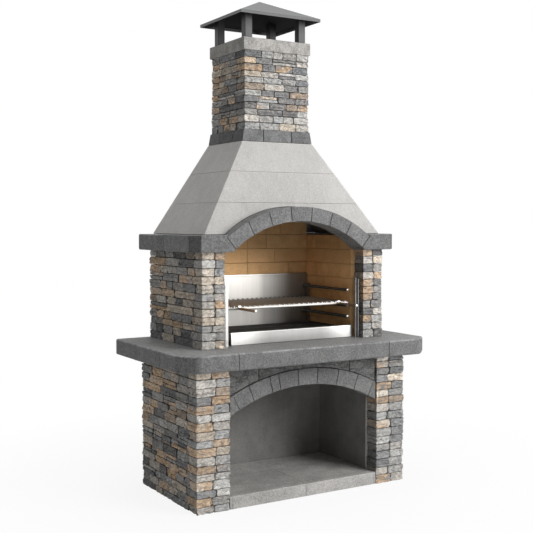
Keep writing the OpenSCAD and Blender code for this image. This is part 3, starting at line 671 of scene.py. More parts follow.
def solids(shape: bmesh.types.BMesh) -> list[Group]:
    """The points of each separate solid of a mesh.

    Args:
        shape: The mesh.

    Returns:
        A list of points for each solid.
    """
    left = set(shape.verts)
    found = []
    for first in shape.verts:
        if first not in left:
            continue
        left.discard(first)
        group = [first]
        for vert in group:
            for edge in vert.link_edges:
                other = edge.other_vert(vert)
                if other in left:
                    left.discard(other)
                    group.append(other)
        found.append(group)
    return found


def extent(group: Group) -> Box:
    """Lowest and highest corner of the box around some points."""
    low, high = ([pick(vert.co[i] for vert in group) for i in range(3)] for pick in (min, max))
    return Vector(low), Vector(high)


def boxes(node: Object) -> list[Box]:
    """The box around each separate solid of a node.

    Args:
        node: The node's object.

    Returns:
        Each box's lowest and highest corner.
    """
    shape = merged(node)
    found = [extent(group) for group in solids(shape)]
    shape.free()
    return found


@dataclass
class Stone:
    """One stone: its visible outline and its hidden corners in plan, and its height's ends."""

    outer: list[Plan]
    inner: list[Plan]
    low: float
    high: float


@dataclass
class Cut:
    """How one stone is split, drawn at random.

    It has the stone's height and the radius of its edges, its shift of the colours and its seat
    in the noises. The face tilts, has its own strength of relief, steps at a ledge and loses a
    nick at its corners, and the two ends slant.
    """

    height: float
    rounding: float
    shift: float
    seat: Vector
    tilt: Plan
    strength: float
    ledge: float
    step: float
    nick: float
    slants: Plan

    def drawn_back(self, distance: float) -> float:
        """How far an edge draws back at a distance from it."""
        near = max(0.0, 1 - distance / self.rounding)
        return self.rounding * (1 - math.sqrt(max(0.0, 1 - near * near)))

    def seated(self, spot: Vector, across: float, up: float) -> Vector:
        """A spot's place in a noise with so many cycles per metre across and upwards."""
        return Vector((spot.x * across, spot.y * across, spot.z * up)) + self.seat

    def wave(self, *spot: float) -> float:
        """Noise at a place, for what varies along or up the stone only."""
        return noise.noise(Vector((*spot, 0)) + self.seat)


@dataclass
class LedgeFacing:
    """The facing stones of one wall or stack, rebuilt with split faces.

    Lengths are in metres: spacing lies between the points of a face, relief and chip are the
    depths of its waves and facets, wobble is how far an edge wanders, slant how far a side
    leans, nick how much a corner loses, and proud how far a face may stand out of its box.
    """

    node: str
    bands: int
    seed: int
    towards: tuple[Plan, ...]
    spacing: float = 0.0054
    rounding: float = 0.0012
    relief: float = 0.0049
    chip: float = 0.0060
    wobble: float = 0.0022
    # Painted shade: how much darker the faces that look to the sides are
    painted_side_shade: float = 0.85
    slant: float = 0.0024
    nick: float = 0.0045
    nick_reach: float = 0.011
    proud: float = 0.0022
    ledges: float = 0.45
    ledge_half: float = 0.0045
    inset: float = 0.0004
    floor: float = 0.0
    ceiling: float = FAR
    palette: tuple[tuple[float, Colour], ...] = (
        (0.30, (0.52, 0.505, 0.48)),
        (0.17, (0.61, 0.55, 0.472)),
        (0.26, (0.385, 0.383, 0.375)),
        (0.17, (0.235, 0.237, 0.238)),
        (0.06, (0.58, 0.455, 0.335)),
        (0.04, (0.40, 0.335, 0.275)))

    def read(self, box: Box, group: Group) -> Stone:
        """Reads one stone from its solid.

        Args:
            box: The whole facing's lowest and highest corner.
            group: The solid's points.

        Returns:
            The stone.
        """
        low, high = ends = extent(group)
        spots = [vert.co for vert in group]
        near = MERGE * 9
        inside = [p for p in spots if all(low[i] + near < p[i] < high[i] - near for i in (0, 1))]
        if not inside:

            def gap(way: Plan) -> float:
                """Distance of a side from the facing's own side."""
                axis = 0 if way[0] else 1
                return abs(ends[way[axis] > 0][axis] - box[way[axis] > 0][axis])

            first = AROUND.index(min(self.towards, key=gap))
            ring = [(low.x, low.y), (high.x, low.y), (high.x, high.y), (low.x, high.y)]
            ring = ring[first:] + ring[:first]
            return Stone(ring[:2], ring[2:], low.z, high.z)
        # The corner across from the notch, by its end of X and of Y
        a, b = next((a, b) for a in (0, 1) for b in (0, 1)
                    if all(math.dist(p.xy, (ends[1 - a].x, ends[1 - b].y)) > near for p in spots))
        notch = inside[0]
        outer = [(ends[1 - a].x, ends[b].y), (ends[a].x, ends[b].y), (ends[a].x, ends[1 - b].y)]
        inner = [(notch.x, ends[1 - b].y), (notch.x, notch.y), (ends[1 - a].x, notch.y)]
        if a == b:
            outer.reverse()
            inner.reverse()
        return Stone(outer, inner, low.z, high.z)

    def columns(self, stone: Stone, rounding: float) -> list[Column]:
        """Places along a stone's visible sides.

        Args:
            stone: The stone.
            rounding: Radius of its edges.

        Returns:
            For each place its distance along the face, its point, the way out and its distance
            from the nearer end.
        """
        corners = [Vector(p) for p in stone.outer]
        legs = list(zip(corners, corners[1:]))
        places = []
        run = 0.0
        total = sum((b - a).length for a, b in legs)
        for number, (a, b) in enumerate(legs):
            along = (b - a).normalized()
            out = Vector((along.y, -along.x))
            length = (b - a).length
            start = rounding if number else 0.0
            stop = length - (rounding if number < len(legs) - 1 else 0.0)
            steps = max(2, round((stop - start) / self.spacing))
            marks = [start + (stop - start) * i / steps for i in range(steps + 1)]
            if not number:
                marks = [0.0, rounding * 0.3] + [m for m in marks if m > rounding * 0.7]
            if number == len(legs) - 1:
                marks = [m for m in marks if m < stop - rounding * 0.7]
                marks += [stop - rounding * 0.3, stop]
            places += [(run + m, a + along * m, out) for m in marks]
            if number < len(legs) - 1:
                turn = (legs[number + 1][1] - b).normalized()
                out_next = Vector((turn.y, -turn.x))
                centre = b - (out + out_next) * rounding
                for share in (0.33, 0.67):
                    way = (out * (1 - share) + out_next * share).normalized()
                    places.append((run + length, centre + way * rounding, way))
            run += length
        return [(s, point, way, min(s, total - s)) for s, point, way in places]

    def cut(self, stone: Stone, draw: random.Random) -> Cut:
        """Draws how a stone is split.

        Args:
            stone: The stone.
            draw: Source of random numbers.

        Returns:
            The draws, with a ledge lower than 0 where the face has no step.
        """
        height = stone.high - stone.low
        return Cut(height=height,
                   rounding=min(self.rounding * draw.uniform(0.75, 1.25), height * 0.24),
                   shift=draw.random(),
                   seat=Vector([draw.uniform(-50, 50) for _ in range(3)]),
                   tilt=(draw.uniform(-1, 1) * 0.002, draw.uniform(-1, 1) * 0.0016),
                   strength=draw.uniform(0.65, 1.25),
                   ledge=(draw.uniform(0.3, 0.7) * height if draw.random() < self.ledges
                          else -1.0),
                   step=draw.uniform(0.0012, 0.0032) * draw.choice((-1, 1)),
                   nick=draw.uniform(0.0, self.nick),
                   slants=(draw.uniform(-1, 1) * self.slant, draw.uniform(-1, 1) * self.slant))

    def split(self, cut: Cut, low: float, rise: float, share: float,
              column: Column) -> tuple[Place, float, float]:
        """Splits a stone's face at one point.

        Args:
            cut: How the stone is split.
            low: Height of its foot.
            rise: The point's height above the foot.
            share: The column's distance along the face, as a share of the whole.
            column: The column that the point belongs to.

        Returns:
            The point, the painted shade of its crease and the painted shade of its facet and side.
        """
        s, spot, out, end = column
        at = Vector((spot.x, spot.y, low + rise))
        # Broad waves, ridges along the beds, fine grain and scattered facets with cracks between
        broad = noise.noise(cut.seated(at, 21, 21))
        ridge = 1 - abs(noise.noise(cut.seated(at, 26, 95))) * 1.6
        fine = noise.noise(cut.seated(at, 130, 130))
        spread = cut.seated(at, 34, 62)
        gaps, cores = noise.voronoi(spread)
        crack = min(1.0, (gaps[1] - gaps[0]) * 3.2)
        plane = noise.cell_vector(cores[0] * 7.0)
        chisel = max(-1.0, min(1.0, plane.dot(spread - cores[0]) * 1.6))
        lean = (cut.tilt[0] * (share - 0.5) + cut.tilt[1] * (rise / cut.height - 0.5)) * 2
        relief = self.relief * cut.strength * (
            0.36 - 0.42 * broad - 0.4 * ridge + 0.2 * (1 - crack) + 0.16 * fine) + lean
        relief += self.chip * cut.strength * (0.3 + chisel * 0.6)
        # A ledge, where the face above steps in or out along a wandering line
        step = 0.0
        if cut.ledge > 0:
            line = cut.ledge + 0.006 * cut.wave(s * 16, 3)
            step = max(0.0, 1 - abs(rise - line) / self.ledge_half)
            relief += cut.step * (1 if rise > line else 0) + step * 0.0026
        # Rounded edges and knocked-off corners
        rim = min(rise, cut.height - rise)
        edge = math.hypot(cut.drawn_back(rim), cut.drawn_back(end * 1.7) * 0.8)
        edge += cut.nick * max(0.0, 1 - math.hypot(rim, end) / self.nick_reach)
        depth = max(-self.proud, relief - self.proud) + edge
        # The upper and lower edges and the two ends wander
        sway = 1 - 2 * rise / cut.height
        lift = self.wobble * (0.1 + cut.wave(s * 45, sway)) * sway
        pull = self.wobble * (0.2 + cut.wave(rise * 60, 7))
        ends = (1 - 2 * share) * pull + sway * (cut.slants[0] * (1 - share) ** 3
                                                + cut.slants[1] * share ** 3)
        ground = spot.xy - out * depth + Vector((-out.y, out.x)) * ends * 0.6
        level = min(max(low + rise + lift, self.floor), self.ceiling)
        # Painted shade: darker in cracks, in recessed parts, along the ledge and on the drawn-back
        # edges
        crease = min(1.0, (1 - crack) ** 3 * 0.3 + max(0.0, relief - 0.005) * 70 + step * 0.5
                     + (edge / cut.rounding) ** 1.8 * 0.5)
        # Painted shade of the facet by its slant, made darker where the face looks to the sides
        return (ground.x, ground.y, level), crease, 0.5 + plane.x * 0.5 - self.painted_side_shade * out.x * out.x

    def tint(self, draw: random.Random) -> Colour:
        """Draws a stone's colour.

        Args:
            draw: Source of random numbers.

        Returns:
            One of the palette's colours, a little lighter or darker and warmer or cooler.
        """
        pick = draw.random()
        for share, colour in self.palette:
            if pick < share:
                break
            pick -= share
        light = draw.uniform(0.82, 1.16)
        warmth = draw.uniform(0.988, 1.045)
        return colour[0] * light * warmth, colour[1] * light, colour[2] * light / warmth

    def carve(self, form: Form, stone: Stone, draw: random.Random) -> None:
        """Adds one stone to a form.

        Args:
            form: The piece under construction.
            stone: The stone.
            draw: Source of random numbers.
        """
        cut = self.cut(stone, draw)
        columns = self.columns(stone, cut.rounding)
        straight = cut.height - 2 * cut.rounding
        steps = max(2, round(straight / self.spacing))
        marks = [0.0, cut.rounding * 0.3]
        marks += [cut.rounding + straight * i / steps for i in range(steps + 1)]
        marks += [cut.height - cut.rounding * 0.3, cut.height]
        face = [self.split(cut, stone.low, rise, column[0] / columns[-1][0], column)
                for column in columns for rise in marks]
        points, crease_shades, shades = (list(values) for values in zip(*face))
        rows = len(marks)
        back = len(points)
        last = back - rows
        faces = [(a, a + rows, a + rows + 1, a + 1)
                 for i in range(0, last, rows) for a in range(i, i + rows - 1)]
        soft = [True] * len(faces)
        for x, y in stone.inner:
            points += [(x, y, stone.low + self.inset), (x, y, stone.high - self.inset)]
            crease_shades += [1.0, 1.0]
            shades += [0.5, 0.5]
        count = len(stone.inner)
        faces.append((*range(back + 2 * count - 2, back - 1, -2), *range(last, -1, -rows)))
        faces.append((*range(rows - 1, back, rows), *range(back + 1, back + 2 * count, 2)))
        faces.append((last, back, back + 1, *range(last + rows - 1, last, -1)))
        faces.append((*range(rows), back + 2 * count - 1, back + 2 * count - 2))
        faces += [(a, a + 2, a + 3, a + 1) for a in range(back, back + 2 * count - 2, 2)]
        soft += [False] * (len(faces) - len(soft))
        tint = self.tint(draw)
        stained = 1.0 if draw.random() < 0.2 else draw.uniform(0.0, 0.55)
        form.add(points, faces, soft, stone_tint=tint, stone_shift=cut.shift,
                 stone_stain=stained, stone_crease=crease_shades, stone_shade=shades)

    def build(self, nodes: Nodes, finish: Material) -> None:
        """Builds the facing.

        Args:
            nodes: The frame's nodes.
            finish: The stones' material.
        """
        draw = random.Random(self.seed)
        shape = merged(nodes[self.node])
        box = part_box(self.node)
        self.floor, self.ceiling = box[0].z, box[1].z
        stones = [self.read(box, group) for group in solids(shape)]
        shape.free()
        stones.sort(key=lambda s: (round(s.low, 4), s.outer[0]))
        tall = (box[1].z - box[0].z) / self.bands
        forms = [Form() for _ in range(self.bands)]
        for stone in stones:
            level = ((stone.low + stone.high) / 2 - box[0].z) / tall
            self.carve(forms[min(self.bands - 1, int(level))], stone, draw)
        for number, form in enumerate(forms):
            name = f"{self.node}_band_{number + 1}"
            show(name, form.mesh(name), finish, "masonry", "ledge_stone", self.node)


@dataclass
class Casting:
    """Copies of CAD nodes with their edges broken: wide ones outside, narrow ones at the seams."""

    finish: Material
    slot: str
    body: str = "masonry"
    edge: float = 0.002
    corner: float = 0.002
    seam: float = 0.0015
    seams: tuple[tuple[int, float], ...] = ()
    joint: float = 0.0
    steps: int = 3
    seed: int = 5
    seam_reach: float = 0.003
    upright: float = 0.9

    def widest(self) -> float:
        """Width of the widest rounding."""
        return max(self.edge, self.seam, self.corner)

    def at_seam(self, spot: Vector) -> bool:
        """Whether a point lies on one of the seams."""
        return any(abs(spot[axis] - place) < self.seam_reach for axis, place in self.seams)

    def shaped(self, nodes: Nodes, name: str) -> Mesh:
        """Copies a node, draws its solids in by the joint and marks its edges.

        Args:
            nodes: The frame's nodes.
            name: The node's name.

        Returns:
            The mesh, with a random tint on each solid.
        """
        draw = random.Random(f"{self.seed} {name}")
        shape = merged(nodes[name])
        tint = shape.verts.layers.float.new("solid_tint")
        for group in solids(shape):
            value = draw.random()
            low, high = extent(group)
            for vert in group:
                vert[tint] = value
                off = (low + high) / 2 - vert.co
                vert.co += Vector([math.copysign(min(self.joint, abs(d)), d) for d in off])
        weight = shape.edges.layers.float.new("bevel_weight_edge")
        for edge in shape.edges:
            if len(edge.link_faces) == 2 and edge.calc_face_angle(0.0) > SOFT_ANGLE:
                ends = [vert.co for vert in edge.verts]
                upright = abs((ends[0] - ends[1]).normalized().z) > self.upright
                wide = (self.seam if self.at_seam((ends[0] + ends[1]) / 2)
                        else self.corner if upright else self.edge)
                edge[weight] = wide / self.widest()
        mesh = bpy.data.meshes.new(name)
        shape.to_mesh(mesh)
        shape.free()
        mesh.polygons.foreach_set("use_smooth", [True] * len(mesh.polygons))
        return mesh

    def build(self, nodes: Nodes, ending: str, *names: str) -> None:
        """Builds the pieces.

        Args:
            nodes: The frame's nodes.
            ending: What each piece's name adds to its node's name.
            *names: The nodes that the pieces stand for.
        """
        for node in names:
            draft = placed("draft", self.shaped(nodes, node))
            bevel = draft.modifiers.new("edges", "BEVEL")
            bevel.limit_method = "WEIGHT"
            bevel.width = self.widest()
            bevel.segments = self.steps
            bevel.miter_outer = "MITER_SHARP"
            even = draft.modifiers.new("even", "WEIGHTED_NORMAL")
            even.weight = 100
            graph = bpy.context.evaluated_depsgraph_get()
            final = bpy.data.meshes.new_from_object(draft.evaluated_get(graph))
            bpy.data.objects.remove(draft)
            show(f"{node}_{ending}", final, self.finish, self.body, self.slot, node)


def domed(length: float, radius: float, dome: float = 0.45, groove: float = 0.0008) -> list[Plan]:
    """Profile of a rod with a domed far end and a shallow groove behind the dome.

    Args:
        length: Length of the rod.
        radius: Its radius.
        dome: Height of the dome, as a share of the radius.
        groove: Width of the groove.

    Returns:
        The profile for a turned piece.
    """
    rise = radius * dome
    neck = length - rise
    profile = [(0.0, 0.0), (0.0, radius * 0.92), (0.0004, radius), (neck - groove * 2, radius),
               (neck - groove * 1.6, radius * 0.93), (neck - groove * 1.2, radius)]
    for i in range(7):
        angle = math.pi / 2 * i / 7
        profile.append((neck + rise * math.sin(angle), radius * math.cos(angle)))
    return profile + [(length, 0.0)]


def rounded_outline(corners: list[tuple[float, float, float]], steps: int = 4) -> list[Plan]:
    """An outline with rounded corners.

    Args:
        corners: Each corner's two coordinates and its radius.
        steps: Number of pieces in each rounding.

    Returns:
        The outline's points.
    """
    points: list[Plan] = []
    count = len(corners)
    for i, (x, y, radius) in enumerate(corners):
        here = Vector((x, y))
        before = (Vector(corners[i - 1][:2]) - here).normalized()
        after = (Vector(corners[(i + 1) % count][:2]) - here).normalized()
        if radius <= 0:
            points.append((x, y))
            continue
        half = before.angle(after) / 2
        reach = radius / math.tan(half)
        a, b = here + before * reach, here + after * reach
        centre = here + (before + after).normalized() * (radius / math.sin(half))
        for k in range(steps + 1):
            way = (a - centre).lerp(b - centre, k / steps).normalized()
            spot = centre + way * radius
            points.append((spot.x, spot.y))
    return points


class Finishes:
    """All of the materials, made once."""

    def __init__(self) -> None:
        """Makes them."""
        self.ledge = LedgeFinish().make()
        self.iron = IronFinish().make()
        self.precasts()
        self.concretes()
        self.sheets()
        self.bar_steels()

    def precasts(self) -> None:
        """Makes the dark finishes of the worktop, the mantel, the arches and the collar."""
        arch = CastFinish("arch_precast", (0.182, 0.182, 0.181), cloud_scale=14.0, speckle=0.55,
                          pores=0.5, pore_scale=62.0, solid_spread=0.09, roughness=0.82)
        # Painted top light and edge highlights, with wear, and painted shade on the chamfers and
        # sides
        precast = replace(
            arch, name="dark_precast", colour=(0.157, 0.157, 0.156), streak=0.08, speckle=0.6,
            pores=0.6, top_light_and_wear=0.55, edge_highlight_and_wear=0.35, painted_chamfer_shade=0.07, painted_side_shade=0.05)
        self.arch = arch.make()
        self.precast = precast.make()
        # The mantel: stronger painted edge highlights and chamfer shade, with painted top light and
        # wear
        self.shelf = replace(precast, name="mantel_precast", top_light_and_wear=0.4, edge_highlight_and_wear=0.6,
                             painted_chamfer_shade=0.42, painted_side_shade=0.0).make()
        # Painted shadow of the worktop: darker from about 0.66 m up
        self.low_arch = replace(arch, name="low_arch_precast", colour=(0.172, 0.172, 0.17),
                                speckle=0.5, roughness=0.88, soot_and_shade=(0.66, 0.16, 0.42)).make()
        self.riven = CastFinish(
            "riven_slate", (0.142, 0.141, 0.138), cloud=0.2, cloud_scale=16.0, speckle=0.5,
            cracks=0.32, solid_spread=0.2, grain=0.003).make()
        # Painted shade on the faces that look to the sides
        self.collar = CastFinish(
            "collar_slate", (0.175, 0.176, 0.178), cloud=0.2, cloud_scale=18.0, speckle=0.5,
            painted_side_shade=0.34, solid_spread=0.16).make()

    def concretes(self) -> None:
        """Makes the finishes of the hood, the crown, the linings, the slab and the blocks."""
        # Painted shade on the faces that look down
        self.pale = CastFinish(
            "pale_concrete", (0.50, 0.488, 0.472), cloud=0.05, cloud_scale=5.0, streak=0.07,
            speckle=0.19, speckle_scale=150.0, pores=0.16, pore_scale=60.0, solid_spread=0.02,
            foot=0.6).make()
        # Painted shade on the faces that look to the sides
        self.crown = CastFinish("crown_concrete", (0.37, 0.357, 0.338), cloud=0.2,
                                cloud_scale=16.0, speckle=0.42, painted_side_shade=0.22).make()
        # Painted top light and edge highlights, with wear
        self.slab = CastFinish(
            "slab_concrete", (0.39, 0.38, 0.365), cloud=0.14, cloud_scale=9.0, speckle=0.4,
            roughness=0.7, top_light_and_wear=0.2, edge_highlight_and_wear=0.3, courses=(0.47, 0.29), course_axis=1,
            course_start=0.0, course_shift=0.0).make()
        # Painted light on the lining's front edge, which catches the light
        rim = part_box("base_lining_right")[0].y + 0.0006
        self.smooth = CastFinish(
            "smooth_lining", (0.22, 0.215, 0.205), cloud=0.11, streak=0.06, speckle=0.12,
            pores=0.1, painted_lit_rim=(rim, 1.6), roughness=0.75, grain=0.0004).make()
        self.block = CastFinish(
            "plain_block", (0.38, 0.37, 0.355), cloud=0.1, cloud_scale=6.0, speckle=0.4, pores=0.6,
            pore_scale=90.0, courses=(0.4, 0.1895), grain=0.002).make()
        # Soot and painted shade: darker from about 1.33 m up
        self.brick = CastFinish(
            "firebrick", (0.875, 0.55, 0.27), cloud=0.07, cloud_scale=18.0, speckle=0.14,
            pores=0.1, solid_spread=0.06, warm=(0.72, 0.42, 0.185), warm_share=0.4,
            soot_and_shade=(1.33, 0.22, 0.34), roughness=0.85, grain=0.0005).make()

    def sheets(self) -> None:
        """Makes the finishes of the cap and of the sheets."""
        # Soot and painted shade: faces under the cap are nearly black
        cap = MetalFinish("cap_coating", (0.098, 0.099, 0.100), 0.45, 0.0, Brush.NONE, 0.12,
                          0.00004, 0.1, 0.35, sooty_shaded_underside=True)
        self.cap = cap.make()
        # Painted shade under the roof: darker above 2.655 m and on the back posts' front faces, and
        # darker on the sides
        self.posts = replace(
            cap, name="cap_posts_coating", roughness=0.5, brush=Brush.UPRIGHT, sooty_shaded_underside=False,
            painted_side_shade=0.66, painted_light_bands=((2, 2.655, FAR, 0.09, 0.8), (1, 0.312, 0.3133, 0.0005, 0.8))).make()
        self.sheet = MetalFinish("brushed_sheet", (0.80, 0.785, 0.76), 0.27, cloud=0.16).make()
        # Painted reflection: darker in the middle, lighter towards both ends
        self.fascia = MetalFinish(
            "fascia_sheet", (0.60, 0.588, 0.572), 0.4, smear=0.06, brush=Brush.UPRIGHT,
            streaks=0.05, painted_light_bands=((0, -0.25, 0.31, 0.22, 0.58),)).make()
        # Painted reflection of the dark brick wall: darker right of 0.09 m; made lighter below 1.05
        # m
        self.shield = MetalFinish(
            "shield_sheet", (0.45, 0.435, 0.412), 0.38, smear=0.06, brush=Brush.UPRIGHT,
            streaks=0.1, painted_light_bands=((0, 0.09, FAR, 0.05, 0.3), (2, 0.0, 1.05, 0.02, -0.5))).make()

    def bar_steels(self) -> None:
        """Makes the finishes of the grid, its handles, the guides, the posts and the rungs."""
        low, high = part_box("grid_frame")
        middle = (low.z + high.z) / 2
        # Painted shade: darker at the left end and on the lower half of the frame
        self.welded = MetalFinish(
            "welded_frame", (0.42, 0.41, 0.39), 0.38,
            painted_light_bands=((0, -FAR, -0.31, 0.06, 0.55), (2, 0.0, middle - 0.002, 0.002, 0.6))).make()
        low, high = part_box("grid_bars")
        # Painted highlights: lighter bar ends at the front and the back
        self.bars = MetalFinish(
            "grid_bar_steel", (0.34, 0.31, 0.272), 0.42, 0.9, Brush.LENGTHWAYS, cloud=0.2,
            highlight_tips=(low.y + 0.009, high.y - 0.009)).make()
        low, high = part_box("guide_right")
        # The right guide: a dark colour for its shaded reflection, with a painted highlight along
        # its front edge
        self.guide = MetalFinish(
            "painted_shade_upright", (0.20, 0.195, 0.19), 0.4, 0.9, Brush.UPRIGHT,
            highlight_tips=(low.y + 0.0065, high.y + 0.1), tip_highlight=(0.34, 0.335, 0.325)).make()
        # Painted shadow of the pillar on the left part of the guide
        self.upright = MetalFinish(
            "brushed_upright", (0.78, 0.77, 0.75), 0.2, brush=Brush.UPRIGHT,
            painted_light_bands=((0, -FAR, -0.4325, 0.002, 0.62),)).make()
        self.clamp = MetalFinish("clamp_steel", (0.52, 0.51, 0.49), 0.3).make()
        self.dark = MetalFinish("dark_steel", (0.14, 0.137, 0.133), 0.4, 0.7,
                                Brush.LENGTHWAYS, 0.14, 0.00004, 0.2).make()
        self.rod = MetalFinish("rod_steel", (0.40, 0.33, 0.26), brush=Brush.LENGTHWAYS,
                               grain=0.00004, cloud=0.2).make()
        self.bright = MetalFinish("bright_caps", (0.86, 0.85, 0.83), 0.14, smear=0.05).make()


@dataclass
class Assembly:
    """A part of the barbecue, built from the frame's nodes and the finishes."""

    nodes: Nodes
    finishes: Finishes


@dataclass
class Masonry(Assembly):
    """Walls, slabs, arches and linings of the base and the fire chamber."""

    nose: float = 0.011
    turn: float = 0.022
    seam: float = 0.0016

    def facings(self) -> None:
        """Builds the facing stones."""
        for node, bands, seed, side in (("base_stone_left", 3, 61, -1),
                                        ("base_stone_right", 3, 125, 1),
                                        ("chamber_stone_left", 2, 68, -1),
                                        ("chamber_stone_right", 2, 66, 1)):
            LedgeFacing(node, bands, seed, ((side, 0),)).build(self.nodes, self.finishes.ledge)
        LedgeFacing("stack_stone", 3, 88, AROUND, rounding=0.001, wobble=0.0016, slant=0.0012,
                    nick=0.0018).build(self.nodes, self.finishes.ledge)

    def worktop(self) -> None:
        """Builds the worktop's slabs."""
        low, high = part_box("worktop_corner_right")
        seams = ((0, low.x), (0, -low.x), (1, high.y), (1, self.side_split()))
        Casting(self.finishes.precast, "dark_precast", edge=self.nose, corner=self.turn,
                seam=self.seam, seams=seams, joint=0.0009, steps=5).build(
            self.nodes, "cast", "worktop_corner_left", "worktop_corner_right", "worktop_front",
            "worktop_side_left", "worktop_side_right", "hearth_slab")

    def side_split(self) -> float:
        """Place along Y of the seam between the two slabs on each side."""
        ends = sorted({round(corner.y, 4) for box in boxes(self.nodes["worktop_side_right"])
                       for corner in box})
        return (ends[1] + ends[2]) / 2

    def mantel(self) -> None:
        """Builds the mantel's slabs and its arch, and the lower arch with its spandrels."""
        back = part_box("mantel_back")
        seams = ((1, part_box("mantel_corner_right")[1].y), (0, back[1].x), (0, back[0].x),
                 (1, back[0].y))
        Casting(self.finishes.shelf, "dark_precast", edge=0.009, corner=0.014, seam=self.seam,
                seams=seams, joint=0.0009, steps=4).build(
            self.nodes, "cast", "mantel_corner_left", "mantel_corner_right",
            "mantel_side_left", "mantel_side_right", "mantel_back")
        for node, finish in (("mantel_arch", self.finishes.arch),
                             ("lower_arch", self.finishes.low_arch)):
            Casting(finish, "dark_precast", edge=0.0032, corner=0.0032, joint=0.0009).build(
                self.nodes, "cast", node)
        Casting(self.finishes.riven, "dark_precast", edge=0.003, corner=0.003,
                joint=0.0016).build(self.nodes, "riven", "lower_spandrels")

    def linings(self) -> None:
        """Builds the linings, the floor slab and the plain walls."""
        for part, finish, slot, edge, joint in (
                ("firebrick", self.finishes.brick, "firebrick", 0.0016, 0.0006),
                ("base_lining", self.finishes.smooth, "grey_concrete", 0.001, 0.0)):
            Casting(finish, slot, edge=edge, corner=edge, joint=joint, steps=2).build(
                self.nodes, "cast", *(f"{part}_{place}" for place in ("left", "right", "back")))
        Casting(self.finishes.slab, "grey_concrete", edge=0.004).build(
            self.nodes, "cast", "floor_slab")
        Casting(self.finishes.block, "block", steps=2).build(
            self.nodes, "cast", "base_wall_left", "base_wall_right", "base_back_wall",
            "chamber_wall_left", "chamber_wall_right", "chamber_back_wall", "stack_core")


@dataclass
class Chimney(Assembly):
    """Hood, collar, crown and cap."""

    edge: float = 0.0028
    foot: float = 0.006

    def build(self) -> None:
        """Builds them from the bottom up."""
        for node, seam in (("hood_lower", self.foot), ("hood_middle", self.edge),
                           ("hood_upper", self.edge)):
            Casting(self.finishes.pale, "pale_concrete", edge=self.edge, seam=seam,
                    seams=((2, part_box(node)[0].z),)).build(self.nodes, "cast", node)
        Casting(self.finishes.collar, "dark_precast", edge=0.0025, joint=0.0016).build(
            self.nodes, "cast", "collar_tiles")
        Casting(self.finishes.crown, "pale_concrete", edge=0.004).build(
            self.nodes, "cast", "chimney_crown")
        for node, finish in (("cap_posts", self.finishes.posts),
                             ("cap_roof", self.finishes.cap)):
            Casting(finish, "cap_metal", edge=0.0012, steps=2).build(self.nodes, "folded", node)


@dataclass
class Fittings(Assembly):
    """Shield, guides, posts and rungs, fixed to the masonry."""

    hem: float = 0.011
    hem_rise: float = 0.0009

    def build(self) -> None:
        """Builds the fixed steel parts."""
        self.shield()
        for place, guide in (("left", self.finishes.upright), ("right", self.finishes.guide)):
            for node, ending, finish, slot, edge in (
                    ("guide", "bent", guide, "stainless", 0.0006),
                    ("frame_post", "square", self.finishes.dark, "dark_steel", 0.0012),
                    ("rungs", "round", self.finishes.dark, "dark_steel", 0.0004)):
                Casting(finish, slot, edge=edge, steps=2).build(
                    self.nodes, ending, f"{node}_{place}")
            self.caps(f"rung_caps_{place}", "masonry", self.finishes.clamp)

    def shield(self) -> None:
        """Builds the back shield, with a flat hem along its top."""
        low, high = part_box("back_shield")
        hem = high.z - self.hem
        front = low.y - self.hem_rise
        form = Form()
        form.extrude(rounded_outline([
            (high.y, low.z, 0.0), (high.y, high.z, 0.001), (front, high.z, 0.0012),
            (front, hem, 0.0006), (low.y, hem - 0.0006, 0.0), (low.y, low.z, 0.001)]),
            low.x, high.x)
        show("back_shield_hemmed", form.mesh("back_shield_hemmed", True), self.finishes.shield,
             "masonry", "stainless", "back_shield")

    def caps(self, node: str, body: str, finish: Material) -> None:
        """Builds the domed end caps of a node's rods.

        Args:
            node: The caps' node.
            body: The body that they ride on.
            finish: Their material.
        """
        form = Form()
        for low, high in boxes(self.nodes[node]):
            start = Vector(((low.x + high.x) / 2, high.y, (low.z + high.z) / 2))
            form.turn(domed(high.y - low.y, (high.x - low.x) / 2), start)
        show(node + "_domed", form.mesh(node), finish, body, "bright_caps", node)


@dataclass
class Tray(Assembly):
    """Ember tray with its fascia, and the charcoal grate in it."""

    fold: float = 0.0025
    lean: float = 0.0035
    line: float = 0.009
    line_half: float = 0.0007
    side_fold: float = 0.018
    fold_y: Plan = (0.001, 0.004)

    def build(self) -> None:
        """Builds the tray and the grate."""
        low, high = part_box("tray_fascia")
        line = high.z - self.line
        crease = low.y + self.lean * (line - low.z) / (high.z - low.z)
        form = Form()
        form.extrude(rounded_outline([
            (high.y, low.z, 0.001), (high.y, high.z, self.fold),
            (low.y + self.lean, high.z, self.fold), (crease, line + self.line_half, 0.0),
            (crease + self.line_half, line, 0.0), (crease, line - self.line_half, 0.0),
            (low.y, low.z, self.fold)]), low.x, high.x)
        show("tray_fascia_folded", form.mesh("tray_fascia_folded", True), self.finishes.fascia,
             "ember_tray", "stainless", "tray_fascia")
        form = Form()
        near, far = (high.y + depth for depth in self.fold_y)
        top = high.z - self.fold_y[1]
        form.extrude([(far, low.z), (far, top), (near, top), (near, low.z)],
                     low.x - self.side_fold, low.x + self.fold_y[1])
        show("tray_side_fold", form.mesh("tray_side_fold"), self.finishes.dark, "ember_tray",
             "dark_steel")
        Casting(self.finishes.sheet, "stainless", "ember_tray", edge=0.0005, steps=2).build(
            self.nodes, "folded", "tray_pan", "tray_walls")
        Casting(self.finishes.iron, "grate_iron", "charcoal_grate", edge=0.0015, steps=2).build(
            self.nodes, "cast", "charcoal_grate")


